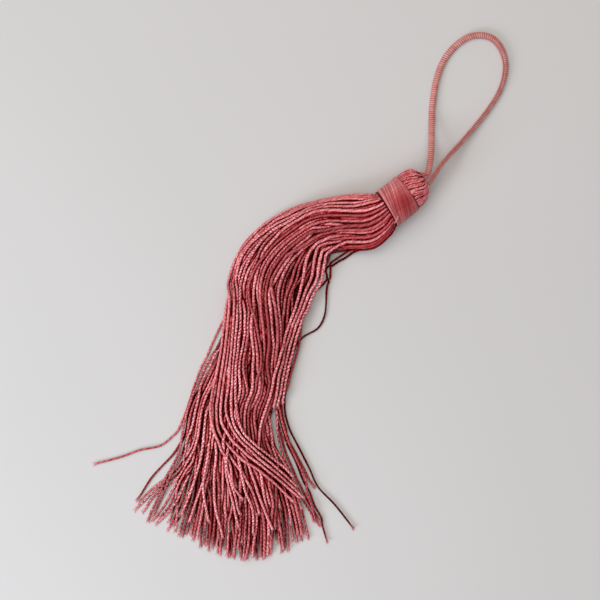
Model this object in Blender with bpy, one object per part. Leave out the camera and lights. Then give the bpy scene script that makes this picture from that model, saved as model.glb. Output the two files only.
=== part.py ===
"""A silk tassel lying on a table: yarn skirt with a folded head, neck binding and hanging cord.

Tables and sizes are in millimetres; meshes are made in metres. +Z is up and the surface is Z = 0.
The head points towards +X +Y, the skirt bends round to -Y and lies flat on the surface.
"""
import math
import random
from typing import NamedTuple

import bmesh
import bpy
from mathutils import Vector

MM = 0.001

# Head: the neck under the binding, and the dome of folded yarns above it.
HEAD_FOOT = Vector((36.7, 46.1))      # centre of the binding's lower edge, seen from above
HEAD_TURN = math.radians(37.4)        # direction of the head's axis from +X
HEAD_SIDES = 36                       # two sides for each folded yarn ridge
NECK_RADIUS = 5.2
BINDING_RADIUS = 6.2
BINDING_LENGTH = 8.7
BINDING_ROUND = 0.35                  # width of the bevelled rim at each end
BINDING_BEVEL = 0.25                  # and how far it falls away
BINDING_SIDES = 48
FIT_GAP = 0.3                         # between pieces that touch
REST_ANGLE = math.radians(15.0)       # half the angle of the flat spot under the binding
AXIS_HEIGHT = BINDING_RADIUS * math.cos(REST_ANGLE)

# Skirt yarns: three-sided strands, flat side down.
YARN_WIDTH = 0.92
YARN_HEIGHT = 0.78
COLUMN_REACH = 10                     # yarn columns each side of the middle one
ROOT_RADIUS = 4.9                     # yarn centres keep inside this circle at the neck
ROOT_COLUMN_STEP = 0.475
ROOT_ROW_STEP = 1.645
ROOT_DEPTH = 1.2                      # how far a yarn is let into the neck
LAYER_STEP = 0.84                     # from one settled layer of yarns to the next
HEAP_TOP = 6.4                        # the layer that clears the tallest column
HEAP_MARGIN = 0.10                    # a yarn crossing the heap clears this share beside it
STAGGER_DROP = 0.7                    # how far an odd layer sinks between the columns below
YARN_STEPS = 14                       # straight runs along a yarn of full length
SINK_DELAY = 0.8                      # stations between a stray's leaving and the next sinking
STRAY_FALL = 0.4                      # height kept from one point of a stray's way to the next
CUT_SPREAD = 0.28                     # uneven cutting of the ends, in stations
SEED = 11

# Hanging cord.
CORD_DIAMETER = 1.8
CORD_POINTS = 36
CORD_SIDE_STEPS = 2                   # bevel resolution: eight sides
ROUTE_STEPS = 12                      # readings of the smooth curve from one route point to the next


class DomeRing(NamedTuple):
    """One ring of the head: how far along the axis, its radius, ridge height and sideways lean."""

    along: float
    radius: float
    ridge: float
    lean: float


DOME = (
    DomeRing(0.4, NECK_RADIUS, 0.0, 0.0),
    DomeRing(9.0, NECK_RADIUS, 0.0, 0.0),
    DomeRing(9.3, 5.65, 0.10, 0.2),
    DomeRing(10.6, 5.50, 0.18, 0.0),
    DomeRing(12.0, 5.10, 0.22, -0.2),
    DomeRing(13.0, 4.50, 0.25, -0.7),
    DomeRing(13.8, 3.60, 0.22, -0.7),
    DomeRing(14.3, 2.50, 0.10, 0.6),
)


class Station(NamedTuple):
    """The skirt's cross-section: its two edges, and how its yarns are stacked there."""

    far_x: float      # edge on the outside of the bend
    far_y: float
    near_x: float     # edge on the inside of the bend
    near_y: float
    lift: float       # underside above the surface
    height: float     # height of the section while it is still round
    bow: float        # how far its middle runs ahead of its edges
    settle: float     # 0 while round, 1 once the yarns lie in level layers
    stagger: float    # 1 where odd layers lie between the columns below
    girth: float      # yarn thickness, 1 at full size


STATIONS = (
    Station(33.5, 50.2, 39.9, 42.0, 0.75, 10.4, 0.0, 0.0, 0.0, 0.84),
    Station(30.1, 51.0, 38.1, 39.3, 0.45, 9.6, 0.0, 0.0, 0.0, 0.86),
    Station(25.7, 51.1, 34.1, 35.8, 0.15, 8.4, 0.0, 0.0, 0.0, 0.88),
    Station(17.7, 49.6, 26.7, 33.6, 0.0, 7.6, 0.0, 0.0, 0.0, 0.88),
    Station(8.6, 46.3, 22.3, 32.1, 0.0, 7.0, 0.0, 0.3, 0.0, 0.88),
    Station(0.1, 41.3, 20.2, 29.0, 0.0, 6.3, 0.0, 0.8, 0.0, 0.92),
    Station(-6.6, 34.6, 18.7, 24.8, 0.0, 5.6, 0.0, 1.0, 0.0, 0.94),
    Station(-9.8, 26.4, 17.3, 21.0, 0.0, 5.6, 0.0, 1.0, 0.0, 0.94),
    Station(-10.5, 17.7, 14.8, 14.1, 0.0, 5.6, 0.0, 1.0, 0.0, 0.94),
    Station(-12.6, 7.5, 11.8, 6.0, 0.0, 5.6, 0.0, 1.0, 0.0, 0.92),
    Station(-16.8, -1.3, 9.0, -0.9, 0.0, 5.6, 0.0, 1.0, 0.0, 0.94),
    Station(-20.2, -7.9, 7.4, -7.3, 0.0, 5.6, 0.0, 1.0, 0.0, 0.96),
    Station(-22.6, -13.9, 6.1, -12.9, 0.0, 5.6, 0.0, 1.0, 0.0, 0.98),
    Station(-24.0, -22.3, 8.4, -22.5, 0.0, 5.6, 0.0, 1.0, 0.3, 1.0),
    Station(-25.7, -30.3, 12.5, -31.4, 0.0, 5.6, 0.5, 1.0, 0.9, 1.0),
    Station(-31.9, -37.4, 16.0, -40.1, 0.0, 5.6, 2.5, 1.0, 1.5, 1.0),
    Station(-40.3, -41.0, 18.8, -48.6, 0.0, 5.6, 13.3, 1.0, 2.0, 1.05),
)
LAST = len(STATIONS) - 1
YARN_STEP = LAST / YARN_STEPS         # in stations


class Stray(NamedTuple):
    """A yarn that leaves the skirt after so many steps and takes its own way on the surface."""

    column: int
    layer: int
    leaves: int
    route: tuple


STRAYS = (
    Stray(-10, 0, 7, (
        (-11.7, 11.7), (-13.4, 7.2), (-15.7, 3.3), (-17.8, -0.9), (-20.4, -7.5), (-22.9, -14.4),
        (-25.2, -19.0), (-27.6, -21.9), (-30.6, -24.0), (-36.3, -25.6), (-42.3, -27.7),
        (-49.8, -29.7))),
    Stray(-9, 0, 11, (
        (-23.3, -22.5), (-26.0, -26.2), (-29.6, -30.6), (-33.3, -34.8), (-36.9, -40.3))),
    Stray(10, 0, 2, (
        (30.2, 33.6), (26.7, 31.6), (23.4, 29.9), (21.4, 28.0), (20.6, 25.0), (20.2, 22.0),
        (19.7, 18.9), (18.9, 15.6), (17.4, 12.3), (15.2, 9.6), (13.0, 7.2), (11.2, 3.6),
        (9.9, -0.9), (8.5, -6.0), (7.8, -11.4), (8.8, -18.0), (11.7, -24.9), (15.2, -31.5),
        (18.3, -37.5), (22.8, -42.9), (27.6, -48.8))),
    Stray(9, 0, 10, ((7.4, -17.4), (10.0, -24.0), (13.2, -31.0), (16.9, -37.2))),
    Stray(9, 1, 12, ((12.9, -34.4), (15.9, -41.2), (18.2, -47.4), (20.1, -53.0))),
)

# The lock that crosses over the skirt's top: its yarns, and where it rises, crosses and ends.
SWEEP_COLUMNS = (-8, -6, -4, -2, 0)
SWEEP_RISE = (10.6, 12.0)
SWEEP_CROSS = (12.0, 14.9)
SWEEP_SHIFT = 1.0                     # in half widths of the skirt
SWEEP_END = 15.0

# Hanging cord: out of the head, down to the surface, round the loop and back into the head.
CORD_ROUTE = (
    (48.06, 55.28, 6.6), (48.9, 56.0, 6.6), (49.7, 57.8, 6.3), (50.3, 60.9, 5.4),
    (50.7, 64.0, 4.2), (50.9, 67.1, 3.0), (51.0, 70.2, 2.0), (51.1, 73.3, 1.3),
    (51.2, 76.3, 0.97), (51.5, 79.3, 0.92), (52.5, 85.3, 0.92), (54.6, 91.0, 0.92),
    (57.8, 95.2, 0.92), (62.0, 98.1, 0.92), (66.2, 98.8, 0.92), (69.8, 97.5, 0.92),
    (72.3, 94.1, 0.92), (73.3, 89.5, 0.92), (72.3, 84.1, 0.92), (69.8, 79.1, 0.94),
    (65.9, 73.7, 1.2), (61.2, 68.1, 2.2), (57.4, 63.9, 3.7), (54.0, 60.1, 5.0),
    (51.7, 56.8, 5.6), (50.2, 54.45, 5.6), (49.3, 53.65, 5.6))


def clear_scene() -> None:
    """Removes the objects of the scene that the script starts in."""
    for thing in list(bpy.data.objects):
        bpy.data.objects.remove(thing, do_unlink=True)


def finish_material(name: str, colour: tuple, roughness: float) -> bpy.types.Material:
    """Makes a plain Principled material."""
    material = bpy.data.materials.new(name)
    material.use_nodes = True
    shader = material.node_tree.nodes["Principled BSDF"]
    shader.inputs["Base Color"].default_value = (*colour, 1.0)
    shader.inputs["Roughness"].default_value = roughness
    shader.inputs["Metallic"].default_value = 0.0
    material.diffuse_color = (*colour, 1.0)
    return material


def smooth_step(low: float, high: float, value: float) -> float:
    """Rises smoothly from 0 at low to 1 at high."""
    share = min(1.0, max(0.0, (value - low) / (high - low)))
    return share * share * (3.0 - 2.0 * share)


def through(rows, place: float) -> tuple:
    """Reads a smooth curve through a table's rows; whole places are the rows themselves."""
    index = min(max(int(math.floor(place)), 0), len(rows) - 2)
    t = place - index
    before = rows[max(index - 1, 0)]
    start, end = rows[index], rows[index + 1]
    after = rows[min(index + 2, len(rows) - 1)]
    return tuple(
        0.5 * (2 * b + (c - a) * t + (2 * a - 5 * b + 4 * c - d) * t ** 2
               + (3 * b - a - 3 * c + d) * t ** 3)
        for a, b, c, d in zip(before, start, end, after))


def even_points(route, count: int) -> list:
    """Reads a number of evenly spaced points from the smooth curve through a route."""
    runs = ROUTE_STEPS * (len(route) - 1)
    fine = [Vector(through(route, i / ROUTE_STEPS)) for i in range(runs + 1)]
    walked = [0.0]
    for a, b in zip(fine, fine[1:]):
        walked.append(walked[-1] + (b - a).length)
    points, k = [], 0
    for i in range(count):
        goal = walked[-1] * i / (count - 1)
        while k < len(fine) - 2 and walked[k + 1] < goal:
            k += 1
        share = (goal - walked[k]) / (walked[k + 1] - walked[k])
        points.append(fine[k].lerp(fine[k + 1], share))
    return points


def head_point(along: float, across: float, up: float) -> Vector:
    """Places a point by the head: along its axis, across it and above it."""
    axis = Vector((math.cos(HEAD_TURN), math.sin(HEAD_TURN)))
    side = Vector((axis.y, -axis.x))
    flat = HEAD_FOOT + along * axis + across * side
    return Vector((flat.x, flat.y, AXIS_HEIGHT + up))


def loft(bm: bmesh.types.BMesh, rings: list) -> None:
    """Joins rings of points with faces and closes both ends."""
    made = [[bm.verts.new(point * MM) for point in ring] for ring in rings]
    sides = len(made[0])
    for low, high in zip(made, made[1:]):
        for i in range(sides):
            j = (i + 1) % sides
            bm.faces.new((low[i], low[j], high[j], high[i]))
    bm.faces.new(made[0])
    bm.faces.new(list(reversed(made[-1])))


def mesh_object(name: str, bm: bmesh.types.BMesh, material: bpy.types.Material):
    """Turns a bmesh into an object of the scene, faces outwards."""
    bmesh.ops.recalc_face_normals(bm, faces=bm.faces)
    mesh = bpy.data.meshes.new(name)
    bm.to_mesh(mesh)
    bm.free()
    mesh.materials.append(material)
    thing = bpy.data.objects.new(name, mesh)
    bpy.context.scene.collection.objects.link(thing)
    return thing


def oddness(layer: float) -> float:
    """Gives 0 on an even layer, 1 on an odd one and a share between them."""
    return 1.0 - abs(layer % 2.0 - 1.0)


def layer_height(layer: float, stagger: float) -> float:
    """Gives the height of a settled layer; staggered odd layers sink between the columns."""
    pair, within = divmod(layer, 2.0)
    low, high = min(within, 1.0), max(within - 1.0, 0.0)
    sunk = pair + low * (1.0 - STAGGER_DROP) + high * STAGGER_DROP
    drop = min(1.0, max(0.0, stagger - 1.0))
    return LAYER_STEP * ((1.0 - drop) * layer + drop * sunk)


def heap_layer(share: float) -> float:
    """Gives the layer that clears the heap of yarns at a share of its half width."""
    inner = min(1.0, max(0.0, abs(share) - HEAP_MARGIN))
    reach = ROOT_RADIUS * math.sqrt(1.0 - inner * inner)
    return min(HEAP_TOP, 2.0 * reach / ROOT_ROW_STEP + 1.0)


class Slot(NamedTuple):
    """A yarn's place at the neck: its column, its layer from below and its height there."""

    column: int
    layer: int
    rise: float


def neck_slots() -> list:
    """Lays out the yarns at the neck in a close-packed circle."""
    slots = []
    for column in range(-COLUMN_REACH, COLUMN_REACH + 1):
        reach = math.sqrt(ROOT_RADIUS ** 2 - (ROOT_COLUMN_STEP * column) ** 2)
        if column % 2:
            count = 2 * math.floor(reach / ROOT_ROW_STEP + 0.5)
        else:
            count = 2 * math.floor(reach / ROOT_ROW_STEP) + 1
        for layer in range(count):
            rise = (layer - (count - 1) / 2) * ROOT_ROW_STEP / ROOT_RADIUS
            slots.append(Slot(column, layer, rise))
    return slots


def yarn_point(slot: Slot, place: float, shift: float = 0.0, layer: float = -1.0) -> Vector:
    """Finds a yarn's centre at a place along the skirt, in its own layer unless one is given."""
    layer = slot.layer if layer < 0.0 else layer
    row = Station(*through(STATIONS, place))
    far, near = Vector((row.far_x, row.far_y)), Vector((row.near_x, row.near_y))
    across = near - far
    ahead = Vector((across.y, -across.x)).normalized()
    inset = YARN_WIDTH * row.girth / across.length
    step = min(1.0, max(0.0, row.stagger)) * (oddness(layer) - 0.5) * 0.5 / COLUMN_REACH
    share = (slot.column / COLUMN_REACH + shift + step) * (1.0 - inset)
    flat = far + across * (0.5 + 0.5 * share) + ahead * row.bow * (1.0 - share ** 2)
    settle = min(1.0, max(0.0, row.settle))
    round_height = (row.height - YARN_HEIGHT * row.girth) * (slot.rise + 1.0) / 2.0
    height = (1.0 - settle) * round_height + settle * layer_height(layer, row.stagger)
    return Vector((flat.x, flat.y, max(0.0, row.lift) + height + YARN_HEIGHT * row.girth / 3.0))


def yarn_girth(place: float) -> float:
    """Gives a yarn's thickness at a place along the skirt."""
    return Station(*through(STATIONS, place)).girth


def root_point(slot: Slot) -> Vector:
    """Finds where a yarn ends inside the neck."""
    start = yarn_point(slot, 0.0)
    return start + head_point(ROOT_DEPTH, 0.0, 0.0) - head_point(0.0, 0.0, 0.0)


def yarn_places(end: float) -> list:
    """Lists the places of a yarn's points: the same on every yarn, and its own end."""
    steps = [YARN_STEP * i for i in range(YARN_STEPS)]
    return [place for place in steps if place < end - YARN_STEP / 4.0] + [end]


def sunk_layer(slot: Slot, place: float) -> float:
    """Gives a yarn's layer at a place: it sinks by one where a yarn below it has left."""
    below = [s for s in STRAYS if s.column == slot.column and s.layer < slot.layer]
    starts = [s.leaves * YARN_STEP + SINK_DELAY for s in below]
    return slot.layer - sum(smooth_step(start, start + 1.0, place) for start in starts)


def skirt_yarn(slot: Slot, end: float) -> list:
    """Follows a yarn that stays in the skirt."""
    path = [(root_point(slot), yarn_girth(0.0))]
    for place in yarn_places(end):
        point = yarn_point(slot, place, layer=sunk_layer(slot, place))
        path.append((point, yarn_girth(place)))
    return path


def sweep_yarn(slot: Slot, end: float) -> list:
    """Follows a top yarn that rises over the skirt and crosses it towards the near edge."""
    path = [(root_point(slot), yarn_girth(0.0))]
    for place in yarn_places(end):
        rise = smooth_step(*SWEEP_RISE, place)
        shift = SWEEP_SHIFT * smooth_step(*SWEEP_CROSS, place)
        over = heap_layer(slot.column / COLUMN_REACH + shift)
        layer = slot.layer + (over - slot.layer) * rise
        path.append((yarn_point(slot, place, shift, layer), yarn_girth(place)))
    return path


def stray_yarn(slot: Slot, stray: Stray) -> list:
    """Follows a yarn along the skirt and then along its own way on the surface."""
    path = skirt_yarn(slot, stray.leaves * YARN_STEP)
    height = path[-1][0].z
    for x, y in stray.route:
        height = max(YARN_HEIGHT / 3.0, height * STRAY_FALL)
        path.append((Vector((x, y, height)), 1.0))
    return path


def yarn_rings(path: list) -> list:
    """Puts a three-sided ring, flat side down, at each point of a yarn's path."""
    rings = []
    for i, (point, girth) in enumerate(path):
        ahead = path[min(i + 1, len(path) - 1)][0] - path[max(i - 1, 0)][0]
        side = Vector((ahead.y, -ahead.x, 0.0)).normalized() * (YARN_WIDTH * girth / 2.0)
        up = side.cross(ahead).normalized() * (YARN_HEIGHT * girth / 3.0)
        ring = [point - side - up, point + side - up, point + 2.0 * up]
        for corner in ring:
            corner.z = max(corner.z, 0.0)
        rings.append(ring)
    return rings


def all_yarns() -> list:
    """Makes the path of every yarn of the skirt."""
    chance = random.Random(SEED)
    strays = {(stray.column, stray.layer): stray for stray in STRAYS}
    tops = {}
    for slot in neck_slots():
        tops[slot.column] = slot.layer
    paths = []
    for slot in neck_slots():
        cut = chance.uniform(0.0, CUT_SPREAD)
        if (slot.column, slot.layer) in strays:
            paths.append(stray_yarn(slot, strays[slot.column, slot.layer]))
        elif slot.column in SWEEP_COLUMNS and slot.layer == tops[slot.column]:
            paths.append(sweep_yarn(slot, SWEEP_END - cut))
        else:
            paths.append(skirt_yarn(slot, LAST - cut))
    return paths


def make_head(material: bpy.types.Material):
    """Makes the neck and the ridged dome of folded yarns above it."""
    rings = []
    for row in DOME:
        ring = []
        for i in range(HEAD_SIDES):
            turn = 2.0 * math.pi * i / HEAD_SIDES
            radius = row.radius + row.ridge * (-1) ** i
            ring.append(head_point(
                row.along, row.lean + radius * math.sin(turn), -radius * math.cos(turn)))
        rings.append(ring)
    bm = bmesh.new()
    loft(bm, rings)
    return mesh_object("yarn_skirt", bm, material)


def make_yarns(material: bpy.types.Material):
    """Makes every yarn of the skirt as one guide object that the head is joined with."""
    bm = bmesh.new()
    for path in all_yarns():
        loft(bm, yarn_rings(path))
    guide = mesh_object("yarn_guide", bm, material)
    guide.hide_render = True
    guide.display_type = "WIRE"
    return guide


def make_skirt(material: bpy.types.Material):
    """Makes the head and fuses the roots of the yarns into its neck."""
    skirt = make_head(material)
    union = skirt.modifiers.new("roots", "BOOLEAN")
    union.operation = "UNION"
    union.solver = "EXACT"
    union.object = make_yarns(material)
    return skirt


def make_binding(material: bpy.types.Material):
    """Makes the wound sleeve round the neck, with a flat spot where it rests."""
    inner = NECK_RADIUS + FIT_GAP
    rim = BINDING_RADIUS - BINDING_BEVEL
    outline = (
        (0.0, inner), (0.0, rim), (BINDING_ROUND, BINDING_RADIUS),
        (BINDING_LENGTH - BINDING_ROUND, BINDING_RADIUS), (BINDING_LENGTH, rim),
        (BINDING_LENGTH, inner))
    bm = bmesh.new()
    verts = [bm.verts.new(head_point(along, 0.0, -radius) * MM) for along, radius in outline]
    edges = [bm.edges.new((verts[i], verts[(i + 1) % len(verts)])) for i in range(len(verts))]
    bmesh.ops.spin(
        bm, geom=verts + edges, cent=head_point(0.0, 0.0, 0.0) * MM,
        axis=head_point(1.0, 0.0, 0.0) - head_point(0.0, 0.0, 0.0),
        angle=2.0 * math.pi, steps=BINDING_SIDES, use_merge=True)
    for vert in bm.verts:
        vert.co.z = max(vert.co.z, 0.0)
    return mesh_object("neck_binding", bm, material)


def make_cord(material: bpy.types.Material):
    """Makes the hanging cord as one tube whose two ends face the top of the head."""
    curve = bpy.data.curves.new("hanging_cord", "CURVE")
    curve.dimensions = "3D"
    curve.bevel_depth = CORD_DIAMETER * MM / 2.0
    curve.bevel_resolution = CORD_SIDE_STEPS
    curve.use_fill_caps = True
    points = even_points(CORD_ROUTE, CORD_POINTS)
    spline = curve.splines.new("POLY")
    spline.points.add(len(points) - 1)
    for spot, point in zip(spline.points, points):
        spot.co = (*(point * MM), 1.0)
    curve.materials.append(material)
    thing = bpy.data.objects.new("hanging_cord", curve)
    bpy.context.scene.collection.objects.link(thing)
    return thing


def main() -> None:
    """Builds the tassel."""
    clear_scene()
    make_skirt(finish_material("skirt_yarn", (0.42, 0.08, 0.09), 0.55))
    make_binding(finish_material("binding_thread", (0.44, 0.10, 0.10), 0.5))
    make_cord(finish_material("cord_yarn", (0.58, 0.17, 0.15), 0.5))


main()
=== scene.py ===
"""Silk tassel lying on a table: twisted yarns, folded head, wound binding and ribbed hanging loop.

Tables and sizes are in millimetres, and meshes are made in metres. +Z is up, the surface is Z = 0.
The head points towards +X +Y, and the skirt bends round to -Y and lies on the surface.
"""
import logging
import math
from dataclasses import dataclass, fields, replace
from enum import Enum
from typing import NamedTuple

import bmesh
import bpy
import numpy as np
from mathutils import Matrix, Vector


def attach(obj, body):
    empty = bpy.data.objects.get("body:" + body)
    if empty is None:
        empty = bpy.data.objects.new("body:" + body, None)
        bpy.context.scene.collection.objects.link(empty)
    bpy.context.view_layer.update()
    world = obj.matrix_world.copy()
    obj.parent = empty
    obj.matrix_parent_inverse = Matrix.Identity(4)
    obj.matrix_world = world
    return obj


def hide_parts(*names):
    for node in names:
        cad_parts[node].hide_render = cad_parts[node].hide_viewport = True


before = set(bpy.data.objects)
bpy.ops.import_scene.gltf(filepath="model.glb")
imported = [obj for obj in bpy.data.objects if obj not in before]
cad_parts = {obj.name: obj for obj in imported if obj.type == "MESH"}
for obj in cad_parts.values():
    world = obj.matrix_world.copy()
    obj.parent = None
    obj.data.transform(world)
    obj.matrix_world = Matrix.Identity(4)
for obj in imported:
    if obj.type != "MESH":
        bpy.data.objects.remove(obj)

logging.basicConfig(level=logging.INFO, format="%(message)s")
log = logging.getLogger("tassel")

Span = tuple[float, float]
Triple = tuple[float, float, float]
Colour = Triple
Stops = tuple[tuple[float, Colour], ...]

MM = 0.001
TURN = 2.0 * math.pi
UP = np.array((0.0, 0.0, 1.0))
BODY = "root"
SEED = 11

# Head: where it lies and its driving sizes.
HEAD_FOOT = np.array((36.7, 46.1))  # centre of the binding's lower edge, seen from above
HEAD_TURN = math.radians(37.4)      # direction of the head's axis from +X
AXIS_HEIGHT = 5.99                  # of the head's axis above the surface
BINDING_LENGTH = 8.7

# Yarn of the skirt and of the head's folds.
YARN_CONTACT = 0.95                 # from yarn to yarn where they touch
YARN_ROOM = 1.05                    # the same where they lie loosely
YARN_LAY = 3.0                      # length of one full turn of the two plies
BEAD_GAP = 0.6                      # between the points that follow a yarn while it settles
UNTWISTED = 1e6                     # lay of a thread whose plies aren't seen to turn


# ---------------------------------------------------------------------------------- curves

def smooth_step(low: float, high: float, value: np.ndarray) -> np.ndarray:
    """Rises smoothly from 0 at low to 1 at high."""
    share = np.clip((np.asarray(value, float) - low) / (high - low), 0.0, 1.0)
    return share * share * (3.0 - 2.0 * share)


def through(rows: np.ndarray, place: np.ndarray) -> np.ndarray:
    """Reads a smooth curve through a table's rows.

    Args:
        rows: One row for each whole place.
        place: Where to read it, in rows.

    Returns:
        One row of values for each place.
    """
    rows = np.asarray(rows, float)
    place = np.atleast_1d(np.asarray(place, float))
    index = np.clip(np.floor(place).astype(int), 0, len(rows) - 2)
    t = (place - index)[:, None]
    a, b = rows[np.maximum(index - 1, 0)], rows[index]
    c, d = rows[index + 1], rows[np.minimum(index + 2, len(rows) - 1)]
    return 0.5 * (2 * b + (c - a) * t + (2 * a - 5 * b + 4 * c - d) * t ** 2
                  + (3 * b - a - 3 * c + d) * t ** 3)


def unit(vectors: np.ndarray) -> np.ndarray:
    """Scales vectors to length 1."""
    return vectors / np.maximum(np.linalg.norm(vectors, axis=-1, keepdims=True), 1e-12)


def walked(points: np.ndarray) -> np.ndarray:
    """Gives the length walked along a line at each of its points."""
    return np.concatenate(([0.0], np.cumsum(np.linalg.norm(np.diff(points, axis=0), axis=1))))


def evenly(points: np.ndarray, gap: float) -> np.ndarray:
    """Spaces a line's points evenly, about a gap apart."""
    way = walked(points)
    lengths = np.linspace(0.0, way[-1], max(3, round(way[-1] / gap) + 1))
    return np.stack([np.interp(lengths, way, column) for column in points.T], axis=1)


def smooth_line(points: np.ndarray, gap: float) -> np.ndarray:
    """Reads a smooth curve through a route's points, evenly spaced."""
    steps = 12 * (len(points) - 1)
    return evenly(through(points, np.linspace(0.0, len(points) - 1, steps + 1)), gap)


def head_point(along: np.ndarray, across: np.ndarray, up: np.ndarray) -> np.ndarray:
    """Places points by the head.

    Args:
        along: How far along its axis from the binding's lower edge.
        across: How far across it, towards the inside of the bend.
        up: How far above it.

    Returns:
        The points.
    """
    axis = np.array((math.cos(HEAD_TURN), math.sin(HEAD_TURN)))
    side = np.array((axis[1], -axis[0]))
    flat = HEAD_FOOT + np.multiply.outer(along, axis) + np.multiply.outer(across, side)
    return np.concatenate((flat, np.asarray(up)[..., None] + AXIS_HEIGHT), axis=-1)


def frames_along(tangents: np.ndarray) -> tuple[np.ndarray, np.ndarray]:
    """Carries a side and an up direction along a line without turning them about it.

    Args:
        tangents: The line's direction at each point.

    Returns:
        The side and the up direction at each point.
    """
    start = UP if abs(tangents[0] @ UP) < 0.9 else np.array((1.0, 0.0, 0.0))
    side = np.cross(tangents[0], start)
    sides = np.empty_like(tangents)
    for i, tangent in enumerate(tangents):
        side = side - (side @ tangent) * tangent
        side = side / math.sqrt(side @ side)
        sides[i] = side
    return sides, np.cross(sides, tangents)


class Drift:
    """Smooth seeded wandering, one value for each place along the skirt."""

    def __init__(self, rng: np.random.Generator, reach: float, step: float) -> None:
        """Draws the wandering's knots, a step apart, over the whole reach."""
        self.step = step
        self.knots = rng.normal(0.0, 1.0, (int(reach / step) + 3, 1))

    def at(self, place: np.ndarray) -> np.ndarray:
        """Reads the wandering at places."""
        return through(self.knots, np.asarray(place) / self.step)[:, 0]


# ---------------------------------------------------------------------------------- meshes

def in_scene(name: str, data: bpy.types.ID) -> bpy.types.Object:
    """Makes an object of a mesh, lamp or camera and puts it in the scene."""
    thing = bpy.data.objects.new(name, data)
    bpy.context.scene.collection.objects.link(thing)
    return thing


def array_object(name: str, co: np.ndarray, faces: list[np.ndarray],
                 maps: dict[str, list[np.ndarray]], values: dict[str, np.ndarray],
                 material: bpy.types.Material) -> bpy.types.Object:
    """Makes a mesh object from arrays.

    Args:
        name: The object's name.
        co: Its vertices, in millimetres.
        faces: Arrays of faces, each with one count of corners.
        maps: UV maps, corner by corner in the order of the faces.
        values: Vertex values by attribute name.
        material: Its finish.

    Returns:
        The new object, shaded smooth.
    """
    mesh = bpy.data.meshes.new(name)
    mesh.vertices.add(len(co))
    mesh.vertices.foreach_set("co", (co * MM).astype(np.float32).ravel())
    corners = np.concatenate([f.ravel() for f in faces]).astype(np.int32)
    sizes = np.concatenate([np.full(len(f), f.shape[1]) for f in faces])
    starts = np.concatenate(([0], np.cumsum(sizes)[:-1])).astype(np.int32)
    mesh.loops.add(len(corners))
    mesh.loops.foreach_set("vertex_index", corners)
    mesh.polygons.add(len(sizes))
    mesh.polygons.foreach_set("loop_start", starts)
    mesh.polygons.foreach_set("use_smooth", np.ones(len(sizes), bool))
    mesh.update(calc_edges=True)
    for key, parts in maps.items():
        flat = np.concatenate([part.reshape(-1, 2) for part in parts])
        mesh.uv_layers.new(name=key).uv.foreach_set("vector", flat.astype(np.float32).ravel())
    for key, numbers in values.items():
        made = mesh.attributes.new(key, "FLOAT", "POINT")
        made.data.foreach_set("value", numbers.astype(np.float32))
    mesh.materials.append(material)
    return in_scene(name, mesh)


def solid(name: str, bm: bmesh.types.BMesh, material: bpy.types.Material) -> bpy.types.Object:
    """Turns a bmesh in millimetres into a smooth object, faces outwards.

    Args:
        name: The object's name.
        bm: Its shape, which is freed.
        material: Its finish.

    Returns:
        The new object.
    """
    bmesh.ops.scale(bm, vec=(MM, MM, MM), verts=bm.verts)
    bmesh.ops.recalc_face_normals(bm, faces=bm.faces)
    mesh = bpy.data.meshes.new(name)
    bm.to_mesh(mesh)
    bm.free()
    mesh.shade_smooth()
    mesh.materials.append(material)
    return in_scene(name, mesh)


def tube_faces(start: int, count: int, sides: int) -> tuple[np.ndarray, np.ndarray]:
    """Joins rings of vertices into a tube, and closes its ends.

    Args:
        start: The first ring's first vertex. The two ends' middles follow the last ring.
        count: How many rings there are.
        sides: How many vertices a ring has.

    Returns:
        The four-cornered faces of the sides, and the three-cornered ones of the ends.
    """
    around = np.arange(sides)
    after = (around + 1) % sides
    base = start + np.arange(count - 1)[:, None] * sides
    quads = np.stack((base + around, base + after, base + after + sides, base + around + sides), -1)
    last, middle = start + (count - 1) * sides, start + count * sides
    caps = np.concatenate((
        np.stack((start + after, start + around, np.full(sides, middle)), axis=1),
        np.stack((last + around, last + after, np.full(sides, middle + 1)), axis=1)))
    return quads.reshape(-1, 4), caps


def corner_map(low: np.ndarray, high: np.ndarray, start: np.ndarray,
               end: np.ndarray) -> np.ndarray:
    """Maps the corners of a tube's side faces, ring by ring.

    Args:
        low: Where each side of the section begins across the map.
        high: Where it ends.
        start: Where each run of faces begins along the map.
        end: Where it ends.

    Returns:
        Four corners for each face.
    """
    low, high, start, end = np.broadcast_arrays(low, high, start[:, None], end[:, None])
    corners = ((low, start), (high, start), (high, end), (low, end))
    return np.stack([np.stack(corner, -1) for corner in corners], axis=2).reshape(-1, 4, 2)


def ply_map(sides: int, turns: np.ndarray) -> np.ndarray:
    """Maps a tube's sides once across, and by the turns walked along it."""
    around = np.arange(sides)
    return corner_map(around / sides, (around + 1.0) / sides, turns[:-1], turns[1:])


# ---------------------------------------------------------------------------------- yarns

class Detail(Enum):
    """How far apart the rings of a modelled yarn stand, in millimetres."""

    SHOWN = 0.30
    SIDE = 0.375
    BURIED = 1.3


@dataclass(frozen=True)
class YarnStyle:
    """Section of a yarn of two plies: two circles side by side."""

    ply_radius: float = 0.375
    ply_offset: float = 0.055
    valley: float = 0.345
    shoulder: float = 64.0          # degrees from a ply's crest to its shoulders
    lay: float = YARN_LAY

    def section(self) -> tuple[np.ndarray, np.ndarray]:
        """Lays out the section's eight points.

        Returns:
            The points across and up, and how deep each lies in the groove from 0 to 1.
        """
        angles = np.radians((-self.shoulder, 0.0, self.shoulder))
        lobe = np.stack((self.ply_offset + self.ply_radius * np.cos(angles),
                         self.ply_radius * np.sin(angles)), axis=1)
        points = np.concatenate((lobe, ((0.0, self.valley),), -lobe, ((0.0, -self.valley),)))
        return points, np.array((0.25, 0.0, 0.25, 1.0) * 2)


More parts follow.
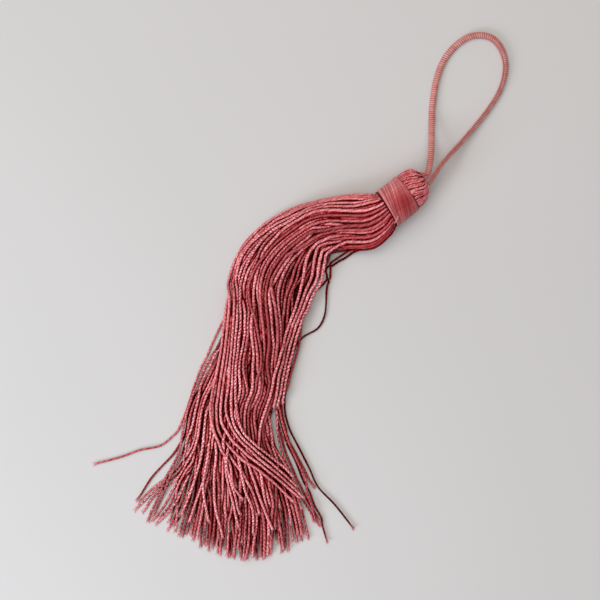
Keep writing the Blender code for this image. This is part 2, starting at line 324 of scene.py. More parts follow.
@dataclass(frozen=True)
class FilamentStyle:
    """Section of a single fine filament."""

    radius: float = 0.075
    lay: float = UNTWISTED

    def section(self) -> tuple[np.ndarray, np.ndarray]:
        """Lays out the section's four points, and their depth in a groove, which is none."""
        points = self.radius * np.array(((1.0, 0.0), (0.0, 1.0), (-1.0, 0.0), (0.0, -1.0)))
        return points, np.zeros(4)


@dataclass
class Yarn:
    """One yarn: its centre line, and how it is modelled along it."""

    line: np.ndarray                # points a bead apart
    rings: np.ndarray               # distance between rings at each point
    tone: float                     # lighter or darker than its neighbours
    phase: float                    # angle of its plies at its start
    girth: np.ndarray               # thickness at each point, 1 at full size
    flare: float = 1.12             # width of the cut end
    cover: float | np.ndarray = 0.0  # how deep each point lies under other yarns, 0 to 1, which darkens it as painted shade
    twist: float = 1.0              # turns of its plies for each turn of a common yarn
    spun: float = 0.0               # how strongly the painted highlights and shade of its fine spinning show, 0 to 1
    shade: float | np.ndarray = 0.0  # painted shade: how much darker it gets along its line


class YarnLoom:
    """Turns yarns into one mesh of twisted strands."""

    TWIST = ((0.0, 30.0, 60.0), (0.55, 0.7, 1.1))  # how tightly the plies turn, by length
    SPUN = ((14.0, 38.0), (0.2, 1.0))  # how strongly the painted highlights of the spinning show, by length
    FLARED = (0.9, 0.1)             # lengths before the cut where it starts to flare and is full
    FRAYED = (2.6, 0.0)             # the same for the worn colour
    BULGE = (0.05, 0.12)            # how far the closed start and end stand out
    END_GROOVE = 0.5
    CAP = 0.004                     # share of the bake map's height that a cut end takes
    EDGE = 0.04                     # share of a strand's strip of it that stays free beside it
    KEPT = ("co", "groove", "fray", "cover", "spun", "tone")

    def __init__(self, style: YarnStyle | FilamentStyle,
                 exposure: "Exposure | None" = None) -> None:
        """Keeps the style that the loom's yarns share, and what hides their lower parts."""
        self.style = style
        self.exposure = exposure
        self.points, self.groove = style.section()

    def ring_places(self, yarn: Yarn) -> tuple[np.ndarray, np.ndarray]:
        """Finds where a yarn's rings stand.

        Args:
            yarn: The yarn to model.

        Returns:
            Lengths along the yarn, and the turn of its plies at each.
        """
        way = walked(yarn.line)
        pace = 1.0 / yarn.rings
        count = np.concatenate(([0.0], np.cumsum(np.diff(way) * (pace[1:] + pace[:-1]) / 2.0)))
        rings = int(math.ceil(count[-1])) + 1
        places = np.interp(np.linspace(0.0, count[-1], rings), count, way)
        twisting = (yarn.rings < Detail.BURIED.value / 2.0).astype(float)
        pace = yarn.twist * np.interp(way, *self.TWIST) / self.style.lay
        turns = np.concatenate(([0.0], np.cumsum(np.diff(way) * twisting[1:] * pace[1:])))
        return places, yarn.phase + TURN * np.interp(places, way, turns)

    def strand(self, yarn: Yarn) -> tuple[np.ndarray, dict[str, np.ndarray]]:
        """Models one yarn.

        Args:
            yarn: The yarn to model.

        Returns:
            Where its rings stand, and its vertices with each one's values.
        """
        places, turn = self.ring_places(yarn)
        way = walked(yarn.line)
        centres = through(yarn.line, np.interp(places, way, np.arange(len(way))))
        tangents = unit(np.gradient(centres, axis=0))
        sides, ups = frames_along(tangents)
        left = places[-1] - places
        girth = np.interp(places, way, yarn.girth)
        girth = girth * (1.0 + (yarn.flare - 1.0) * smooth_step(*self.FLARED, left))
        cos, sin = np.cos(turn)[:, None], np.sin(turn)[:, None]
        x = (self.points[:, 0] * cos - self.points[:, 1] * sin) * girth[:, None]
        y = (self.points[:, 0] * sin + self.points[:, 1] * cos) * girth[:, None]
        rings = centres[:, None] + x[..., None] * sides[:, None] + y[..., None] * ups[:, None]
        ends = np.stack((centres[0] - self.BULGE[0] * tangents[0],
                         centres[-1] + self.BULGE[1] * tangents[-1]))
        cover, shade = (np.interp(places, way, np.broadcast_to(values, way.shape))
                        for values in (yarn.cover, yarn.shade))
        # The tone carries the yarn's random tone less its painted shade.
        tone = yarn.tone - shade
        spun = yarn.spun * np.interp(places, *self.SPUN)
        by_ring = {"fray": (smooth_step(*self.FRAYED, left), (0.0, 1.0)),
                   "cover": (cover, (cover[0], cover[-1])),
                   "spun": (spun, (0.0, 0.0)),
                   "tone": (tone, (tone[0], tone[-1]))}
        values = {key: np.concatenate((np.repeat(ring, len(self.points)), end))
                  for key, (ring, end) in by_ring.items()}
        values["groove"] = np.append(np.tile(self.groove, len(places)), (self.END_GROOVE,) * 2)
        values["co"] = np.concatenate((rings.reshape(-1, 3), ends))
        return places, values

    def strip(self, number: int, total: int, places: np.ndarray) -> tuple[np.ndarray, np.ndarray]:
        """Maps a strand's faces onto its own strip of the bake map.

        Args:
            number: Which strand it is.
            total: How many strands share the map.
            places: Where its rings stand.

        Returns:
            The corners of its side faces, and of its end faces.
        """
        sides = len(self.points)
        across = self.EDGE + (1.0 - 2.0 * self.EDGE) * np.arange(sides + 1) / sides
        low, high = (number + across[:-1]) / total, (number + across[1:]) / total
        share = places / places[-1] * (1.0 - 2.0 * self.CAP) + self.CAP
        middle = np.full(sides, (number + 0.5) / total)
        ends = [np.stack([np.stack((side, np.full(sides, height)), 1)
                          for side, height in ((first, edge), (second, edge), (middle, tip))], 1)
                for first, second, edge, tip in ((high, low, self.CAP, 0.0),
                                                 (low, high, 1.0 - self.CAP, 1.0))]
        return corner_map(low, high, share[:-1], share[1:]), np.concatenate(ends)

    def weave(self, name: str, yarns: list[Yarn], material: bpy.types.Material) -> bpy.types.Object:
        """Makes one mesh object of many yarns.

        Args:
            name: The piece's name.
            yarns: The yarns that it holds.
            material: Its finish.

        Returns:
            The new object.
        """
        start, sides = 0, len(self.points)
        quads, caps, bake, end_bake, along = [], [], [], [], []
        kept: dict[str, list[np.ndarray]] = {key: [] for key in self.KEPT}
        for number, yarn in enumerate(yarns):
            places, values = self.strand(yarn)
            made = (*tube_faces(start, len(places), sides), *self.strip(number, len(yarns), places),
                    ply_map(sides, places / YARN_LAY))
            for parts, part in zip((quads, caps, bake, end_bake, along), made):
                parts.append(part)
            for key, parts in kept.items():
                parts.append(values[key])
            start += len(values["co"])
        values = {key: np.concatenate(parts) for key, parts in kept.items()}
        points = values.pop("co")
        # Painted shade: points that lie deep under the other yarns get more cover, which darkens
        # them.
        if self.exposure:
            values["cover"] = np.maximum(values["cover"], self.exposure.cover(points))
        ends = np.full((2 * sides * len(yarns), 3, 2), 0.5)
        return array_object(name, points, [np.concatenate(quads), np.concatenate(caps)],
                            {"OFBake": bake + end_bake, "ply": along + [ends]}, values, material)


# ---------------------------------------------------------------------------------- settling

@dataclass
class Course:
    """What a yarn is to do while the skirt settles, bead by bead."""

    goal: np.ndarray                # the route that it would take alone
    lift: np.ndarray                # how far above that route it starts
    hold: np.ndarray                # how firmly it is held in place, from 0 to 1
    floor: np.ndarray               # the lowest height of its centre
    room: np.ndarray                # the width that it keeps for itself
    pull: np.ndarray                # how strongly it keeps to its route
    fall: np.ndarray                # 1 where it falls freely onto the others, 0 where it doesn't


@dataclass
class YarnSettler:
    """Lets yarns come to rest on each other: they sink, push each other aside and stay smooth."""

    rounds: int = 240
    refresh: int = 12               # rounds between searches for neighbours
    sink: float = 0.012             # fall in one round
    free_sink: float = 2.2          # how much more of it a freely falling bead gets
    pull: float = 0.04              # share of the way back to the yarn's own route
    pull_up: float = 0.05           # the same for its height
    reach: float = 1.35             # neighbours within this distance are watched
    abreast: float = 0.55           # share of a bead's gap within which beads push each other
    crowd: float = 0.55             # how much a bead's pushes count less for each of them
    closest: float = 0.05           # distance below which a push gets no stronger
    last: float = 0.85              # share of the rounds after which nothing sinks any more
    stiff: Span = (0.5, 0.3)  # how firmly yarns are kept smooth before and after
    smoothings: int = 2             # in each round

    def near_pairs(self, at: np.ndarray, owner: np.ndarray) -> tuple[np.ndarray, np.ndarray]:
        """Finds the beads of different yarns that lie near each other.

        Args:
            at: Where the beads are.
            owner: The yarn that each belongs to.

        Returns:
            The two beads of each pair.
        """
        cell = np.floor((at - at.min(0)) / self.reach).astype(np.int64) + 1
        span = cell.max(0) + 2
        key = (cell[:, 0] * span[1] + cell[:, 1]) * span[2] + cell[:, 2]
        order = np.argsort(key, kind="stable")
        ranked = key[order]
        first, second = [], []
        for step in range(-1, 2):
            for across in range(-1, 2):
                run = (step * span[1] + across) * span[2]
                low = np.searchsorted(ranked, key + run - 1, "left")
                high = np.searchsorted(ranked, key + run + 1, "right")
                count = high - low
                one = np.repeat(np.arange(len(at)), count)
                offset = np.arange(count.sum()) - np.repeat(np.cumsum(count) - count, count)
                other = order[np.repeat(low, count) + offset]
                keep = (one < other) & (owner[one] != owner[other])
                one, other = one[keep], other[keep]
                gap = at[one] - at[other]
                keep = np.einsum("ij,ij->i", gap, gap) < self.reach ** 2
                first.append(one[keep])
                second.append(other[keep])
        return np.concatenate(first), np.concatenate(second)

    def pushes(self, at: np.ndarray, heading: np.ndarray, one: np.ndarray, other: np.ndarray,
               room: np.ndarray) -> np.ndarray:
        """Finds how the beads that lie too close push each other apart.

        Args:
            at: Where the beads are.
            heading: The way that each bead's yarn runs there.
            one: The first bead of each near pair.
            other: The second bead of each.
            room: The width that each bead keeps for itself.

        Returns:
            How each bead is pushed.
        """
        way = heading[one]
        match = np.sign(np.einsum("ij,ij->i", way, heading[other]))[:, None]
        way = unit(way + heading[other] * match)
        apart = at[other] - at[one]
        along = np.einsum("ij,ij->i", apart, way)
        apart = apart - along[:, None] * way
        far = np.sqrt(np.einsum("ij,ij->i", apart, apart))
        touch = 0.5 * (room[one] + room[other])
        hit = (np.abs(along) < self.abreast * BEAD_GAP) & (far < touch)
        a, b, apart, far = one[hit], other[hit], apart[hit], far[hit]
        push = apart * (0.5 * (touch[hit] - far) / np.maximum(far, self.closest))[:, None]
        total = len(at)
        move = np.empty_like(at)
        for k in range(3):
            move[:, k] = np.bincount(b, push[:, k], total) - np.bincount(a, push[:, k], total)
        crowd = np.bincount(a, minlength=total) + np.bincount(b, minlength=total)
        return move / np.maximum(1.0, self.crowd * crowd)[:, None]

    def settle(self, courses: list[Course]) -> list[np.ndarray]:
        """Settles the yarns.

        Args:
            courses: What each yarn is to do.

        Returns:
            Each yarn's line at rest.
        """
        counts = [len(course.goal) for course in courses]
        goal, lift, hold, floor, room, pull, fall = (
            np.concatenate([getattr(course, field.name) for course in courses])
            for field in fields(Course))
        owner = np.repeat(np.arange(len(courses)), counts)
        free = (1.0 - hold)[:, None]
        own_pull = pull[:, None] * free
        at = goal + lift[:, None] * UP
        index = np.arange(len(goal))
        before = np.where(np.roll(owner, 1) == owner, index - 1, index)
        after = np.where(np.roll(owner, -1) == owner, index + 1, index)
        before[0], after[-1] = 0, len(goal) - 1
        for number in range(self.rounds):
            if number % self.refresh == 0:
                one, other = self.near_pairs(at, owner)
            last = number > self.last * self.rounds
            at = at + free * self.pushes(at, unit(at[after] - at[before]), one, other, room)
            if not last:
                at[:, 2] -= self.sink * (1.0 + self.free_sink * fall) * free[:, 0]
                at[:, 2] += free[:, 0] * self.pull_up * (1.0 - fall) * (goal - at)[:, 2]
                at[:, :2] += own_pull * self.pull * (goal - at)[:, :2]
            shift = at - goal
            for _ in range(self.smoothings):
                even = 0.5 * (shift[before] + shift[after])
                shift = shift + free * self.stiff[last] * (even - shift)
            at = goal + shift
            at[:, 2] = np.maximum(at[:, 2], floor)
        return np.split(at, np.cumsum(counts)[:-1])


class SideView(NamedTuple):
    """A direction that the skirt is looked at from, and the detail that it asks for."""

    azimuth: float
    elevation: float
    detail: Detail


class HeightMap(NamedTuple):
    """The outermost yarns, seen from one direction."""

    axes: np.ndarray                # across the map, up it, and towards the viewer
    corner: np.ndarray
    outer: np.ndarray               # how far out the outermost yarn lies in each cell
    level: np.ndarray               # the same, evened out


class Exposure:
    """Finds which parts of the yarns show, and how deep the rest lies under them."""

    CELL = 0.25
    EMPTY = -1e9
    FAR = 1e9
    HALF = 0.42                     # of a yarn's thickness
    SHOWS = 0.35                    # how deep a yarn's centre may lie and still show
    REACH = 4                       # cells on each side that count as beside a yarn
    VIEWS = ((SideView(0.0, 90.0, Detail.SHOWN),)
             + tuple(SideView(45.0 * k, 22.0, Detail.SIDE) for k in range(8))
             + (SideView(0.0, -90.0, Detail.SIDE),))

    def __init__(self, lines: list[np.ndarray], dark: float = 0.37) -> None:
        """Maps the yarns at rest from all directions.

        Args:
            lines: Where each yarn lies.
            dark: The depth under the others where a yarn's painted shade is full.
        """
        self.dark = dark
        self.edges = np.cumsum([len(line) for line in lines])[:-1]
        self.at = np.concatenate(lines)
        self.maps = [self.height_map(view) for view in self.VIEWS]

    def height_map(self, view: SideView) -> HeightMap:
        """Maps how far out the outermost yarns lie, seen from one direction.

        Args:
            view: The direction.

        Returns:
            The map.
        """
        azimuth, elevation = math.radians(view.azimuth), math.radians(view.elevation)
        toward = np.array((math.cos(elevation) * math.cos(azimuth),
                           math.cos(elevation) * math.sin(azimuth), math.sin(elevation)))
        right = np.array((-math.sin(azimuth), math.cos(azimuth), 0.0))
        axes = np.stack((right, np.cross(toward, right), toward))
        seen = self.at @ axes.T
        corner = seen[:, :2].min(0) - 5.0 * self.CELL
        cell = np.floor((seen[:, :2] - corner) / self.CELL).astype(int)
        outer = np.full(cell.max(0) + 6, self.EMPTY)
        for i in (-1, 0, 1):
            for k in (-1, 0, 1):
                np.maximum.at(outer, (cell[:, 0] + i, cell[:, 1] + k), seen[:, 2])
        filled = outer > self.EMPTY
        known = np.where(filled, outer, 0.0)
        steps = [(i, k) for i in range(-2, 3) for k in range(-2, 3)]
        total = sum(np.roll(known, step, (0, 1)) for step in steps)
        count = sum(np.roll(filled, step, (0, 1)).astype(int) for step in steps)
        return HeightMap(axes, corner, outer, total / np.maximum(count, 1))

    def look(self, sheet: HeightMap,
             points: np.ndarray) -> tuple[np.ndarray, np.ndarray, np.ndarray]:
        """Finds points on a map.

        Args:
            sheet: The map.
            points: The points.

        Returns:
            Their columns and rows there, and how far out they lie.
        """
        seen = points @ sheet.axes.T
        cell = np.floor((seen[:, :2] - sheet.corner) / self.CELL).astype(int)
        cell = np.clip(cell, 1, np.array(sheet.outer.shape) - 2)
        return cell[:, 0], cell[:, 1], seen[:, 2]

    def rings(self) -> list[np.ndarray]:
        """Chooses the distance between rings all along each yarn.

        Returns:
            The distance at each yarn's beads, kept fine for three beads beside a part that shows.
        """
        rings = np.full(len(self.at), Detail.BURIED.value)
        for view, sheet in zip(self.VIEWS, self.maps):
            column, row, out = self.look(sheet, self.at)
            seen = np.zeros(len(out), bool)
            for i in (-1, 0, 1):
                for k in (-1, 0, 1):
                    seen |= out > sheet.outer[column + i, row + k] - self.SHOWS
            rings = np.where(seen, np.minimum(rings, view.detail.value), rings)
        result = []
        for own in np.split(rings, self.edges):
            wide = own.copy()
            for step in (1, 2, 3):
                wide[step:] = np.minimum(wide[step:], own[:-step])
                wide[:-step] = np.minimum(wide[:-step], own[step:])
            result.append(wide)
        return result

    def sunk(self) -> list[np.ndarray]:
        """Finds how far each yarn lies below the top yarns beside it.

        Returns:
            The depth at each yarn's beads.
        """
        sheet = self.maps[0]
        steps = range(-self.REACH, self.REACH + 1)
        around = sheet.outer
        for gather in (np.max, np.mean):
            for axis in (0, 1):
                around = gather([np.roll(around, step, axis) for step in steps], axis=0)
            around = np.maximum(around, 0.0)
        column, row, out = self.look(sheet, self.at)
        return np.split(around[column, row] - out, self.edges)

    def cover(self, points: np.ndarray) -> np.ndarray:
        """Finds how deep points lie under the yarns around them.

        Args:
            points: The points.

        Returns:
            Their depths from 0 to 1.
        """
        depth = np.full(len(points), self.FAR)
        for sheet in self.maps:
            column, row, out = self.look(sheet, points)
            under = sheet.level[column, row] + self.HALF - out
            depth = np.minimum(depth, np.where(sheet.outer[column, row] <= self.EMPTY, 0.0, under))
        return smooth_step(0.1 * self.dark, self.dark, depth)


# ---------------------------------------------------------------------------------- skirt

class Station(NamedTuple):
    """The skirt's cross-section: its two edges, and its height while it is still round."""

    far_x: float                    # edge on the outside of the bend
    far_y: float
    near_x: float                   # edge on the inside of the bend
    near_y: float
    height: float
    lift: float = 0.0               # underside above the surface
    bow: float = 0.0                # how far its middle runs ahead of its edges


STATIONS = (
    Station(33.2, 50.7, 40.4, 41.2, 11.1, lift=0.55),
    Station(29.9, 51.0, 38.7, 37.8, 10.1, lift=0.35),
    Station(25.7, 51.0, 33.9, 33.6, 8.6, lift=0.15),
    Station(17.7, 49.5, 26.9, 33.2, 7.6),
    Station(8.6, 46.0, 23.0, 33.2, 7.0),
    Station(0.1, 41.0, 21.3, 30.0, 6.5),
    Station(-6.6, 34.4, 19.2, 25.1, 6.0),
    Station(-9.8, 26.3, 16.9, 20.8, 5.7),
    Station(-10.5, 17.7, 14.6, 14.1, 5.6),
    Station(-12.6, 7.5, 11.3, 6.0, 5.6),
    Station(-16.6, -1.3, 8.2, -0.9, 5.6),
    Station(-19.6, -7.9, 6.5, -7.3, 5.6),
    Station(-21.6, -13.9, 3.3, -13.1, 5.4),
    Station(-23.1, -22.3, 3.0, -22.7, 5.0),
    Station(-25.5, -30.1, 6.8, -31.2, 4.4, bow=0.5),
    Station(-29.1, -38.4, 12.0, -40.6, 3.6, bow=2.5),
    Station(-32.4, -47.4, 14.4, -51.0, 2.8, bow=8.6),
)
LAST = len(STATIONS) - 1
ON_TOP = 2.0                        # height above which a led yarn lies on the others


class Led(NamedTuple):
    """A yarn that leaves its neighbours and takes a way of its own."""

    leaves: float                   # the station where it leaves
    tone: float                     # lighter or darker than its neighbours; the darkest tones are painted shade of strays in shadow
    girth: float                    # its thickness, 1 for a full yarn
    heights: Span                  # its height where it leaves and at its end
    route: tuple[tuple[float, float], ...]  # the rest of its way, seen from above

    @property
    def rides(self) -> bool:
        """Says whether it lies on top of the others."""
        return self.heights[0] > ON_TOP


LED_YARNS = (
    Led(7.4, -0.3, 0.75, (0.5, 0.5), (
        (-9.9, 15.9), (-11.6, 12.9), (-13.2, 9.6), (-14.7, 6.3), (-16.2, 2.7), (-17.9, -0.6),
        (-19.1, -3.9), (-20.2, -7.5), (-21.0, -10.2), (-22.3, -14.1), (-24.9, -19.5),
        (-26.7, -21.5), (-30.2, -24.2), (-36.2, -25.5), (-42.1, -27.6), (-49.6, -29.6))),
    Led(12.2, -1.5, 0.78, (0.5, 0.5), (
        (-22.8, -20.6), (-24.3, -23.9), (-26.7, -27.2), (-29.6, -30.2), (-33.2, -34.3),
        (-36.8, -40.3))),
    Led(13.4, 1.0, 0.85, (0.5, 0.5), (
        (-24.0, -30.2), (-27.3, -33.1), (-30.8, -36.1), (-34.1, -38.8), (-36.5, -41.2))),
    Led(13.4, 1.0, 0.85, (0.8, 0.5), (
        (-23.9, -31.3), (-27.2, -34.3), (-31.1, -37.0), (-34.7, -40.0), (-37.7, -43.3))),
    Led(13.5, 1.0, 0.85, (1.2, 0.5), (
        (-23.6, -32.4), (-26.6, -35.2), (-30.2, -37.6), (-32.9, -40.3), (-35.3, -43.9))),
    Led(13.6, 1.0, 0.85, (0.5, 0.5), (
        (-24.3, -34.3), (-26.7, -37.9), (-28.4, -41.2), (-30.5, -44.2), (-32.6, -46.6))),
    Led(13.7, 1.0, 0.85, (0.8, 0.5), (
        (-23.6, -35.5), (-25.7, -39.1), (-27.5, -42.4), (-29.3, -45.1), (-31.4, -47.5))),
    Led(13.8, 1.0, 0.85, (1.2, 0.5), (
        (-23.3, -36.6), (-24.8, -39.9), (-26.6, -42.7), (-28.4, -44.5), (-30.2, -46.0))),
    Led(13.8, 1.0, 0.85, (0.5, 0.5), (
        (-22.5, -37.9), (-24.0, -41.8), (-25.8, -45.7), (-27.9, -49.3))),
    Led(13.8, 1.0, 0.85, (0.8, 0.5), (
        (-21.8, -38.5), (-23.0, -42.1), (-24.5, -45.4), (-26.4, -48.1))),
    Led(2.6, -3.5, 0.70, (0.5, 0.5), (
        (25.2, 32.1), (23.1, 31.2), (21.0, 30.0), (19.5, 28.5), (20.1, 26.4), (19.8, 24.0),
        (19.6, 21.6), (19.5, 18.6), (19.2, 15.6), (18.3, 12.9), (16.8, 10.8), (14.7, 9.6),
        (12.6, 8.4), (10.5, 6.0), (9.0, 2.1), (8.4, -3.0), (7.5, -7.5), (6.6, -11.7), (6.9, -14.1),
        (8.7, -19.5), (11.7, -25.4), (14.7, -31.4), (17.1, -36.5), (22.2, -41.9), (27.6, -48.8))),
    Led(2.9, -2.5, 0.72, (0.5, 0.5), (
        (24.0, 32.7), (22.2, 31.2), (20.7, 29.7), (20.7, 27.9), (20.1, 25.5), (17.8, 23.4),
        (15.8, 21.6), (14.1, 18.6), (11.8, 12.9), (9.9, 6.9), (8.1, 0.9), (6.7, -6.0), (5.4, -11.7),
        (6.0, -16.5), (7.6, -21.6), (9.3, -25.8), (11.4, -30.9), (13.5, -36.0), (15.3, -40.8),
        (17.7, -46.2), (19.8, -52.8))),
    Led(11.3, -1.0, 0.85, (0.5, 0.5), (
        (5.7, -12.6), (6.0, -15.9), (6.9, -19.5), (8.4, -23.6), (10.5, -27.2), (12.0, -30.2),
        (13.8, -33.5), (16.0, -36.5))),
    Led(11.3, -1.0, 0.85, (0.5, 0.5), (
        (5.4, -12.9), (5.6, -18.0), (6.6, -23.9), (8.1, -28.4), (9.6, -31.7), (11.1, -35.3),
        (12.6, -38.6), (15.0, -42.5), (17.4, -46.7))),
    Led(11.3, -0.5, 0.85, (1.0, 0.5), (
        (5.1, -13.4), (5.1, -18.8), (6.0, -24.5), (7.5, -29.3), (9.3, -34.1), (10.8, -38.9),
        (12.0, -43.4), (12.9, -47.3), (14.1, -51.8))),
    Led(11.3, -0.8, 0.85, (1.0, 0.5), (
        (5.4, -12.9), (6.6, -17.7), (8.1, -22.5), (10.2, -27.0), (12.3, -31.5), (13.5, -35.7),
        (14.8, -41.1), (16.2, -45.0), (17.5, -48.0))),
    Led(11.4, -0.8, 0.85, (0.5, 0.5), (
        (2.4, -12.9), (2.4, -18.0), (3.6, -23.4), (6.0, -28.5), (8.7, -33.3), (11.4, -37.5),
        (13.5, -41.1), (15.0, -43.8), (16.2, -46.5))),
    Led(7.2, 0.6, 0.95, (6.5, 4.6), (
        (-5.7, 19.5), (-6.3, 7.7), (-7.1, -2.7), (-7.2, -10.1), (-6.6, -15.4), (-4.9, -19.8),
        (-2.5, -22.5), (0.4, -25.1), (4.3, -28.2), (7.3, -30.6), (9.6, -33.0))),
    Led(7.2, 1.2, 0.95, (6.5, 4.6), (
        (-6.6, 19.5), (-7.2, 7.7), (-8.2, -4.1), (-8.5, -11.5), (-7.8, -16.6), (-5.2, -21.6),
        (-1.6, -25.2), (2.2, -28.6), (6.4, -32.1), (10.5, -36.0))),
    Led(7.2, 0.6, 0.95, (6.5, 4.6), (
        (-7.5, 19.5), (-8.4, 6.2), (-9.7, -5.6), (-10.2, -12.4), (-9.0, -17.2), (-6.1, -21.9),
        (-2.5, -25.4), (1.6, -29.2), (6.1, -33.1), (12.6, -39.4))),
    Led(7.2, 1.2, 0.95, (6.5, 4.6), (
        (-8.4, 19.5), (-9.6, 6.2), (-11.2, -6.5), (-11.9, -13.0), (-11.2, -17.5), (-8.4, -21.9),
        (-4.6, -25.5), (-0.7, -28.8), (3.1, -32.2), (7.3, -35.6), (11.4, -39.4))),
    Led(7.2, 0.6, 0.95, (6.5, 4.6), (
        (-9.1, 19.5), (-10.4, 6.2), (-12.2, -6.5), (-13.1, -13.6), (-12.7, -18.3), (-11.1, -21.9),
        (-8.4, -24.9), (-4.9, -27.9), (-1.3, -30.4), (1.6, -32.9), (4.9, -35.9), (9.9, -40.4))),
    Led(7.2, 1.2, 0.95, (6.5, 4.6), (
        (-9.5, 18.0), (-11.3, 4.7), (-13.3, -6.5), (-14.3, -13.6), (-13.9, -18.9), (-12.3, -22.8),
        (-9.9, -25.8), (-7.2, -28.8), (-5.2, -32.3), (-3.7, -35.6), (-2.2, -38.9), (-0.8, -44.0))),
    Led(7.2, 0.6, 0.95, (6.5, 4.6), (
        (-10.0, 18.0), (-11.9, 3.3), (-14.0, -7.7), (-14.6, -14.5), (-13.7, -19.5), (-12.0, -22.8),
        (-10.2, -26.1), (-9.3, -29.6), (-8.7, -33.8), (-7.9, -36.2), (-6.7, -37.7), (-5.3, -39.4))),
    Led(12.6, 1.6, 0.95, (5.6, 3.6), (
        (-10.8, -21.9), (-10.2, -27.3), (-9.8, -31.5), (-9.1, -36.0), (-8.2, -39.9), (-7.3, -43.5),
        (-6.5, -47.8))),
    Led(12.8, 1.6, 0.95, (5.6, 3.6), (
        (-10.2, -26.3), (-9.3, -32.3), (-8.5, -36.3), (-7.3, -39.9), (-6.0, -44.0))),
    Led(12.2, 1.6, 0.95, (5.6, 3.6), (
        (-14.0, -17.5), (-14.2, -19.9), (-15.0, -24.6), (-15.9, -29.1), (-16.8, -33.0),
        (-18.0, -36.9), (-19.2, -40.2), (-20.4, -43.8), (-21.3, -46.5))),
    Led(13.0, 1.6, 0.95, (5.6, 3.6), (
        (-15.5, -26.3), (-16.4, -30.8), (-17.1, -35.3), (-16.8, -39.8), (-16.2, -42.9),
        (-15.4, -46.4))),
    Led(13.0, 1.6, 0.95, (5.6, 3.6), (
        (-13.1, -26.3), (-13.8, -32.3), (-13.8, -39.2), (-13.2, -43.4), (-12.4, -46.7),
        (-11.5, -51.0))),
    Led(13.2, 1.6, 0.95, (5.6, 3.6), (
        (-17.9, -27.8), (-19.1, -32.3), (-20.6, -36.8), (-22.1, -40.8), (-23.7, -44.4))),
    Led(13.4, 1.6, 0.95, (5.6, 3.6), (
        (-3.1, -30.8), (-1.9, -35.3), (-0.5, -39.8), (1.6, -44.3), (3.4, -48.9))),
    Led(13.6, 1.6, 0.95, (5.6, 3.6), (
        (-6.0, -30.8), (-4.6, -36.8), (-3.1, -41.6), (-2.3, -45.8), (-2.0, -49.8))),
    Led(3.0, 1.0, 1.00, (7.0, 3.0), (
        (20.0, 33.6), (19.1, 30.7), (18.5, 27.8), (17.9, 24.7), (15.8, 21.3), (14.7, 18.9),
        (13.8, 16.5), (12.1, 13.9), (10.1, 6.9), (8.3, -0.5), (7.1, -5.7), (6.2, -10.9))),
    Led(3.0, 1.4, 1.00, (7.0, 3.0), (
        (19.1, 34.7), (17.7, 32.2), (17.2, 28.9), (16.6, 25.4), (14.7, 21.9), (13.5, 19.2),
        (12.4, 16.5), (11.0, 13.6), (8.9, 6.8), (7.1, -0.4), (5.9, -6.0), (4.9, -12.0))),
    Led(3.0, 0.4, 1.00, (7.0, 3.0), (
        (17.9, 35.9), (16.4, 33.5), (15.7, 30.1), (15.1, 26.3), (13.5, 22.5), (12.3, 19.2),
        (11.1, 16.2), (9.6, 13.3), (7.6, 6.8), (5.8, -0.4), (4.5, -6.3), (3.7, -12.3))),
    Led(3.0, 0.8, 1.00, (7.2, 3.2), (
        (17.6, 36.7), (15.4, 35.0), (14.1, 33.3), (13.2, 30.7), (12.6, 26.9), (11.7, 22.2),
        (10.5, 18.0), (8.7, 13.0), (6.7, 7.1), (4.9, 1.1), (3.1, -6.0), (1.3, -13.1), (-0.5, -19.1),
        (-0.8, -25.1), (0.1, -32.5), (1.6, -40.0), (2.8, -50.7))),
    Led(13.9, 0.8, 0.85, (0.9, 0.5), (
        (-23.9, -33.8), (-25.4, -38.9), (-26.3, -43.4), (-27.1, -47.0))),
    Led(13.9, 0.8, 0.85, (0.9, 0.5), (
        (-23.0, -34.4), (-24.2, -39.8), (-25.1, -44.9), (-25.8, -49.7))),
)


class Parting(NamedTuple):
    """A gap that opens between the skirt's yarns and closes again."""

    share: float                    # its place among the yarns across the skirt
    start: float                    # the stations where it opens and closes
    end: float
    width: float
    level: float                    # how high its lowest yarns lie, from 0 to 1


PARTINGS = (
    Parting(-0.80, 8.7, 12.4, 2.4, -0.5),
    Parting(0.78, 4.2, 6.8, 1.5, 0.30),
    Parting(0.62, 4.3, 7.0, 1.8, 0.35),
    Parting(0.44, 4.5, 8.6, 2.2, 0.40),
    Parting(0.22, 4.6, 7.6, 1.4, 0.45),
    Parting(-0.10, 5.2, 9.6, 2.2, 0.50),
    Parting(-0.40, 4.9, 8.0, 1.3, 0.50),
    Parting(-0.64, 5.2, 8.4, 1.2, 0.45),
    Parting(-0.30, 7.8, 13.0, 1.8, 0.45),
    Parting(0.20, 8.0, 12.6, 1.4, 0.50),
    Parting(-0.45, 12.4, 15.8, 2.0, 0.2),
    Parting(-0.15, 12.8, 16.2, 1.8, 0.2),
)


class Lock(NamedTuple):
    """What the yarns of one lock do together."""

    sway: Drift                     # how they wander across
    fan: float                      # how far they spread at their ends
    heave: Drift                    # how they rise and sink


